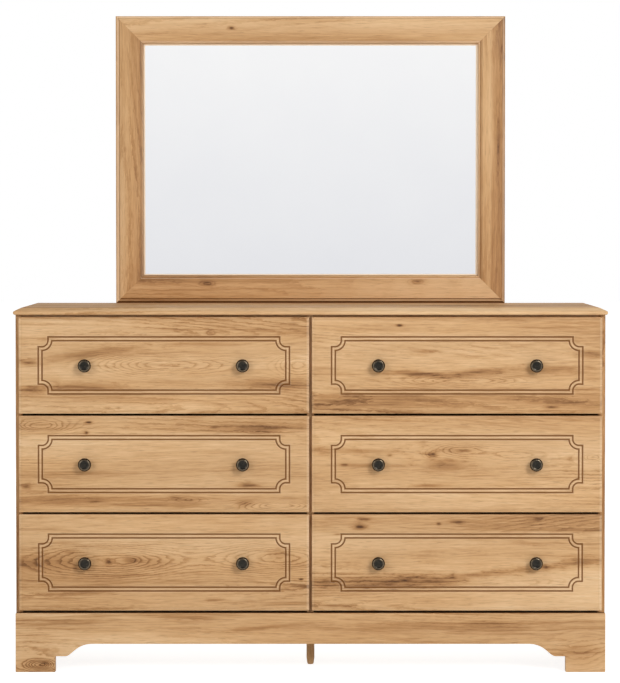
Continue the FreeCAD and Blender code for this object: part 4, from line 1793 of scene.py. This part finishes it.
        # Painted highlight on the upright sides, painted shade along the foot, and on the top row painted
        # shadow of the overhanging top along the upper side.
        upper = self.upper_edge if self.row == "top" else self.level_edge
        bright = np.where(side[:, 0] > 0, self.right_edge, self.left_edge) * reach[:, 0]
        level = np.where(side[:, 1] > 0, upper, self.lower_edge) * reach[:, 1]
        # Painted shade on the top edge face, where it shows in the gap above.
        over = np.clip(edge[:, 1] / self.bevel_depth - 1, 0, 1)[:, None] * (side[:, 1] > 0.9)
        return line + worn * np.where(reach[:, 1] > reach[:, 0], level, bright) + 0.25 * over

    def front(self) -> Shell:
        """The moulded front: a back face, eased edges, a shallow bevel, the two grooves and the field inside.

        Returns:
            The closed shell.
        """
        low, high = corners(f"drawer_front_{self.row}_{self.hand}")
        half, middle = (high - low) / 2, (high + low) / 2
        back, run = self.thickness, self.bevel_run
        profile = [[0.0012, back], [0.0, back], [0.0, self.bevel_depth], [run, 0.0], [run + 0.006, 0.0]]
        edge = eased(np.array(profile), np.array([0, 0.0006, 0.0011, 0.0028, 0]), 5, closed=False)
        outer = self.all_round(self.side_corner(edge[:, 0]), half[0], half[2])
        inset, depth, lip = self.across_moulding()
        inner = self.all_round(self.scoop_corner(inset), self.half_moulding_width, self.half_moulding_height)
        flat = np.concatenate([outer, inner])
        y = low[1] + np.concatenate([edge[:, 1], depth])
        made = loft(spots(middle[0] + flat[..., 0], y[:, None], middle[2] + flat[..., 1]))
        # Painted shade in the grooves, darker with their depth, plus the painted highlight on their lips; the
        # rim takes the painted light of the bevel.
        groove = np.clip(depth / self.groove_depth, 0, 1) ** 0.8 + lip
        shade = np.repeat(groove, flat.shape[1])
        made.recess = np.concatenate([self.rim_shade(edge, outer[0]).ravel(), shade])
        return made

    def build(self) -> None:
        """Builds and dresses the drawer."""
        tag = f"{self.row}_{self.hand}"
        self.body = f"drawer_{tag}"
        decor = FRONT_DECORS[tag]
        finish = OakDecor(
            f"Oak front {self.row} {self.hand}",
            seed=decor.seed,
            tone=decor.tone,
            across=FRONT_ACROSS[self.row],
            staves=decor.staves,
            marks=decor.marks,
        )
        self.add(f"moulded_front_{tag}", self.front(), finish, f"drawer_front_{tag}")
        low, high = corners(f"drawer_front_{tag}")
        x, _, z = (low + high) / 2
        places = (x - self.knob_spacing / 2, x + self.knob_spacing / 2)
        pair = reduce(Shell.joined, [Knob().shell(place, low[1], z) for place in places])
        self.add(f"bronze_knobs_{tag}", pair, AGED_BRONZE, f"drawer_knobs_{tag}")
        heads = studs(self.screw_head, 20, [(place, high[1], z) for place in places])
        self.add(f"knob_screws_{tag}", heads, ZINC_STEEL)
        self.dress(BOX_BOARD_DEEP, f"drawer_sides_{tag}")
        self.dress(BOX_BOARD, f"drawer_back_{tag}")
        self.dress(HARDBOARD, f"drawer_bottom_{tag}")
        self.dress(ZINC_STEEL, f"drawer_runners_{tag}")


# ---------------------------------------------------------------- stage


@dataclass
class Stage:
    """Floor, world, lamps and camera.

    Attributes:
        lamps: name, place, point it faces, length of a side, power, and whether it is seen in gloss.
    """

    lens: float = 132.77
    sensor: float = 36.0
    camera_at: tuple[float, float, float] = (-0.0012, -6.542, 1.134)
    tilt: float = math.radians(1.43)
    shift: float = -0.08
    sky: float = 0.42
    floor_radius: float = 30.0
    floor_glow: float = 0.85
    floor_shade: float = 0.48
    lamps: Sequence[tuple] = (
        ("key_lamp", (2.3, -4.3, 2.8), (0.0, -0.2, 0.85), 1.7, 122.0, True),
        ("fill_lamp", (-3.0, -4.2, 2.2), (0.0, -0.2, 0.8), 2.0, 45.0, True),
        ("rear_lamp", (1.5, 4.5, 2.8), (0.0, 0.2, 0.8), 2.0, 70.0, False),
    )

    def camera(self) -> None:
        """A long lens in front of the object, level but for a slight tilt, with a small shift."""
        data = bpy.data.cameras.new("studio_camera")
        data.lens, data.sensor_width, data.shift_y = self.lens, self.sensor, self.shift
        made = linked("studio_camera", data)
        made.location, made.rotation_euler = self.camera_at, (RIGHT_ANGLE - self.tilt, 0.0, 0.0)
        bpy.context.scene.camera = made

    def lamp(
        self, name: str, place: Sequence[float], aim: Sequence[float], size: float, watts: float, gloss: bool
    ) -> None:
        """A square soft lamp.

        Args:
            name: its name.
            place: where it hangs.
            aim: the point that it faces.
            size: length of a side.
            watts: its power.
            gloss: whether it is seen in gloss.
        """
        data = bpy.data.lights.new(name, "AREA")
        data.size, data.energy = size, watts
        made = linked(name, data)
        back = np.array(place) - np.array(aim)
        back /= np.linalg.norm(back)
        made.location = place
        made.rotation_euler = (math.acos(back[2]), 0.0, math.atan2(back[0], -back[1]))
        made.visible_camera, made.visible_glossy = False, gloss

    @staticmethod
    def seen(g: Graph) -> tuple[Socket, Socket]:
        """Whether a ray comes from the camera, from a gloss or through glass.

        Args:
            g: the node tree.

        Returns:
            That, and whether it comes straight from the camera.
        """
        path = g.node("ShaderNodeLightPath").outputs
        gloss = g.math("MAXIMUM", path["Is Glossy Ray"], path["Is Transmission Ray"])
        return g.math("MAXIMUM", path["Is Camera Ray"], gloss), path["Is Camera Ray"]

    def world(self) -> None:
        """Even light all round, and a white surround that in gloss fades downwards and dims high and low."""
        world = bpy.context.scene.world = bpy.data.worlds.new("studio")
        g = Graph.emptied(world)
        seen, direct = self.seen(g)
        rise = g.parts(g.node("ShaderNodeTexCoord").outputs["Generated"])[2]
        fade = g.shades(g.span(rise, -0.04, 0.075), (0.0, 227, 228, 232), (1.0, 249, 249, 249))
        fade = g.blend(g.span(g.math("ABSOLUTE", rise), 0.15, 0.45, 0.0, 0.75), fade, BLACK)
        light = g.fed("ShaderNodeBackground", (1.0, 0.985, 0.96, 1.0), self.sky)[0]
        shown = g.fed("ShaderNodeBackground", g.blend(direct, fade, WHITE))[0]
        g.fed("ShaderNodeOutputWorld", g.fed("ShaderNodeMixShader", seen, light, shown)[0])

    def floor(self) -> None:
        """A wide pale floor that shows white where it is lit and keeps the object's shadow."""
        rim = np.linspace(0.0, 2 * math.pi, 64, endpoint=False)
        points = self.floor_radius * spots(np.cos(rim), np.sin(rim), 0.0)
        mesh = bpy.data.meshes.new("studio_floor")
        mesh.from_pydata(points.tolist(), [], [list(range(len(points)))])
        linked("studio_floor", mesh)
        material = bpy.data.materials.new("Studio floor")
        mesh.materials.append(material)
        g = Graph.emptied(material)
        shade = (self.floor_shade, 1.02 * self.floor_shade, 1.05 * self.floor_shade, 1.0)
        plain = g.fed("ShaderNodeBsdfDiffuse", tint(228, 227, 224))[0]
        shown = g.fed("ShaderNodeBsdfDiffuse", shade)[0]
        glow = g.fed("ShaderNodeEmission", named={"Strength": self.floor_glow})[0]
        both = g.fed("ShaderNodeAddShader", shown, glow)[0]
        g.fed("ShaderNodeOutputMaterial", g.fed("ShaderNodeMixShader", self.seen(g)[0], plain, both)[0])

    def build(self) -> None:
        """Sets the stage."""
        bpy.context.scene.view_settings.view_transform = "Standard"
        self.camera()
        self.world()
        self.floor()
        for lamp in self.lamps:
            self.lamp(*lamp)


def main() -> None:
    """Builds the dresser's sub-assemblies in order, then the stage."""
    logging.basicConfig(level=logging.INFO, format="%(name)s %(message)s")
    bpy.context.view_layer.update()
    TopPanel().build()
    Carcase().build()
    MirrorFrame().build()
    for row in ROWS:
        for hand in HANDS:
            Drawer(row=row, hand=hand).build()
    Stage().build()


if __name__ == "__main__":
    main()
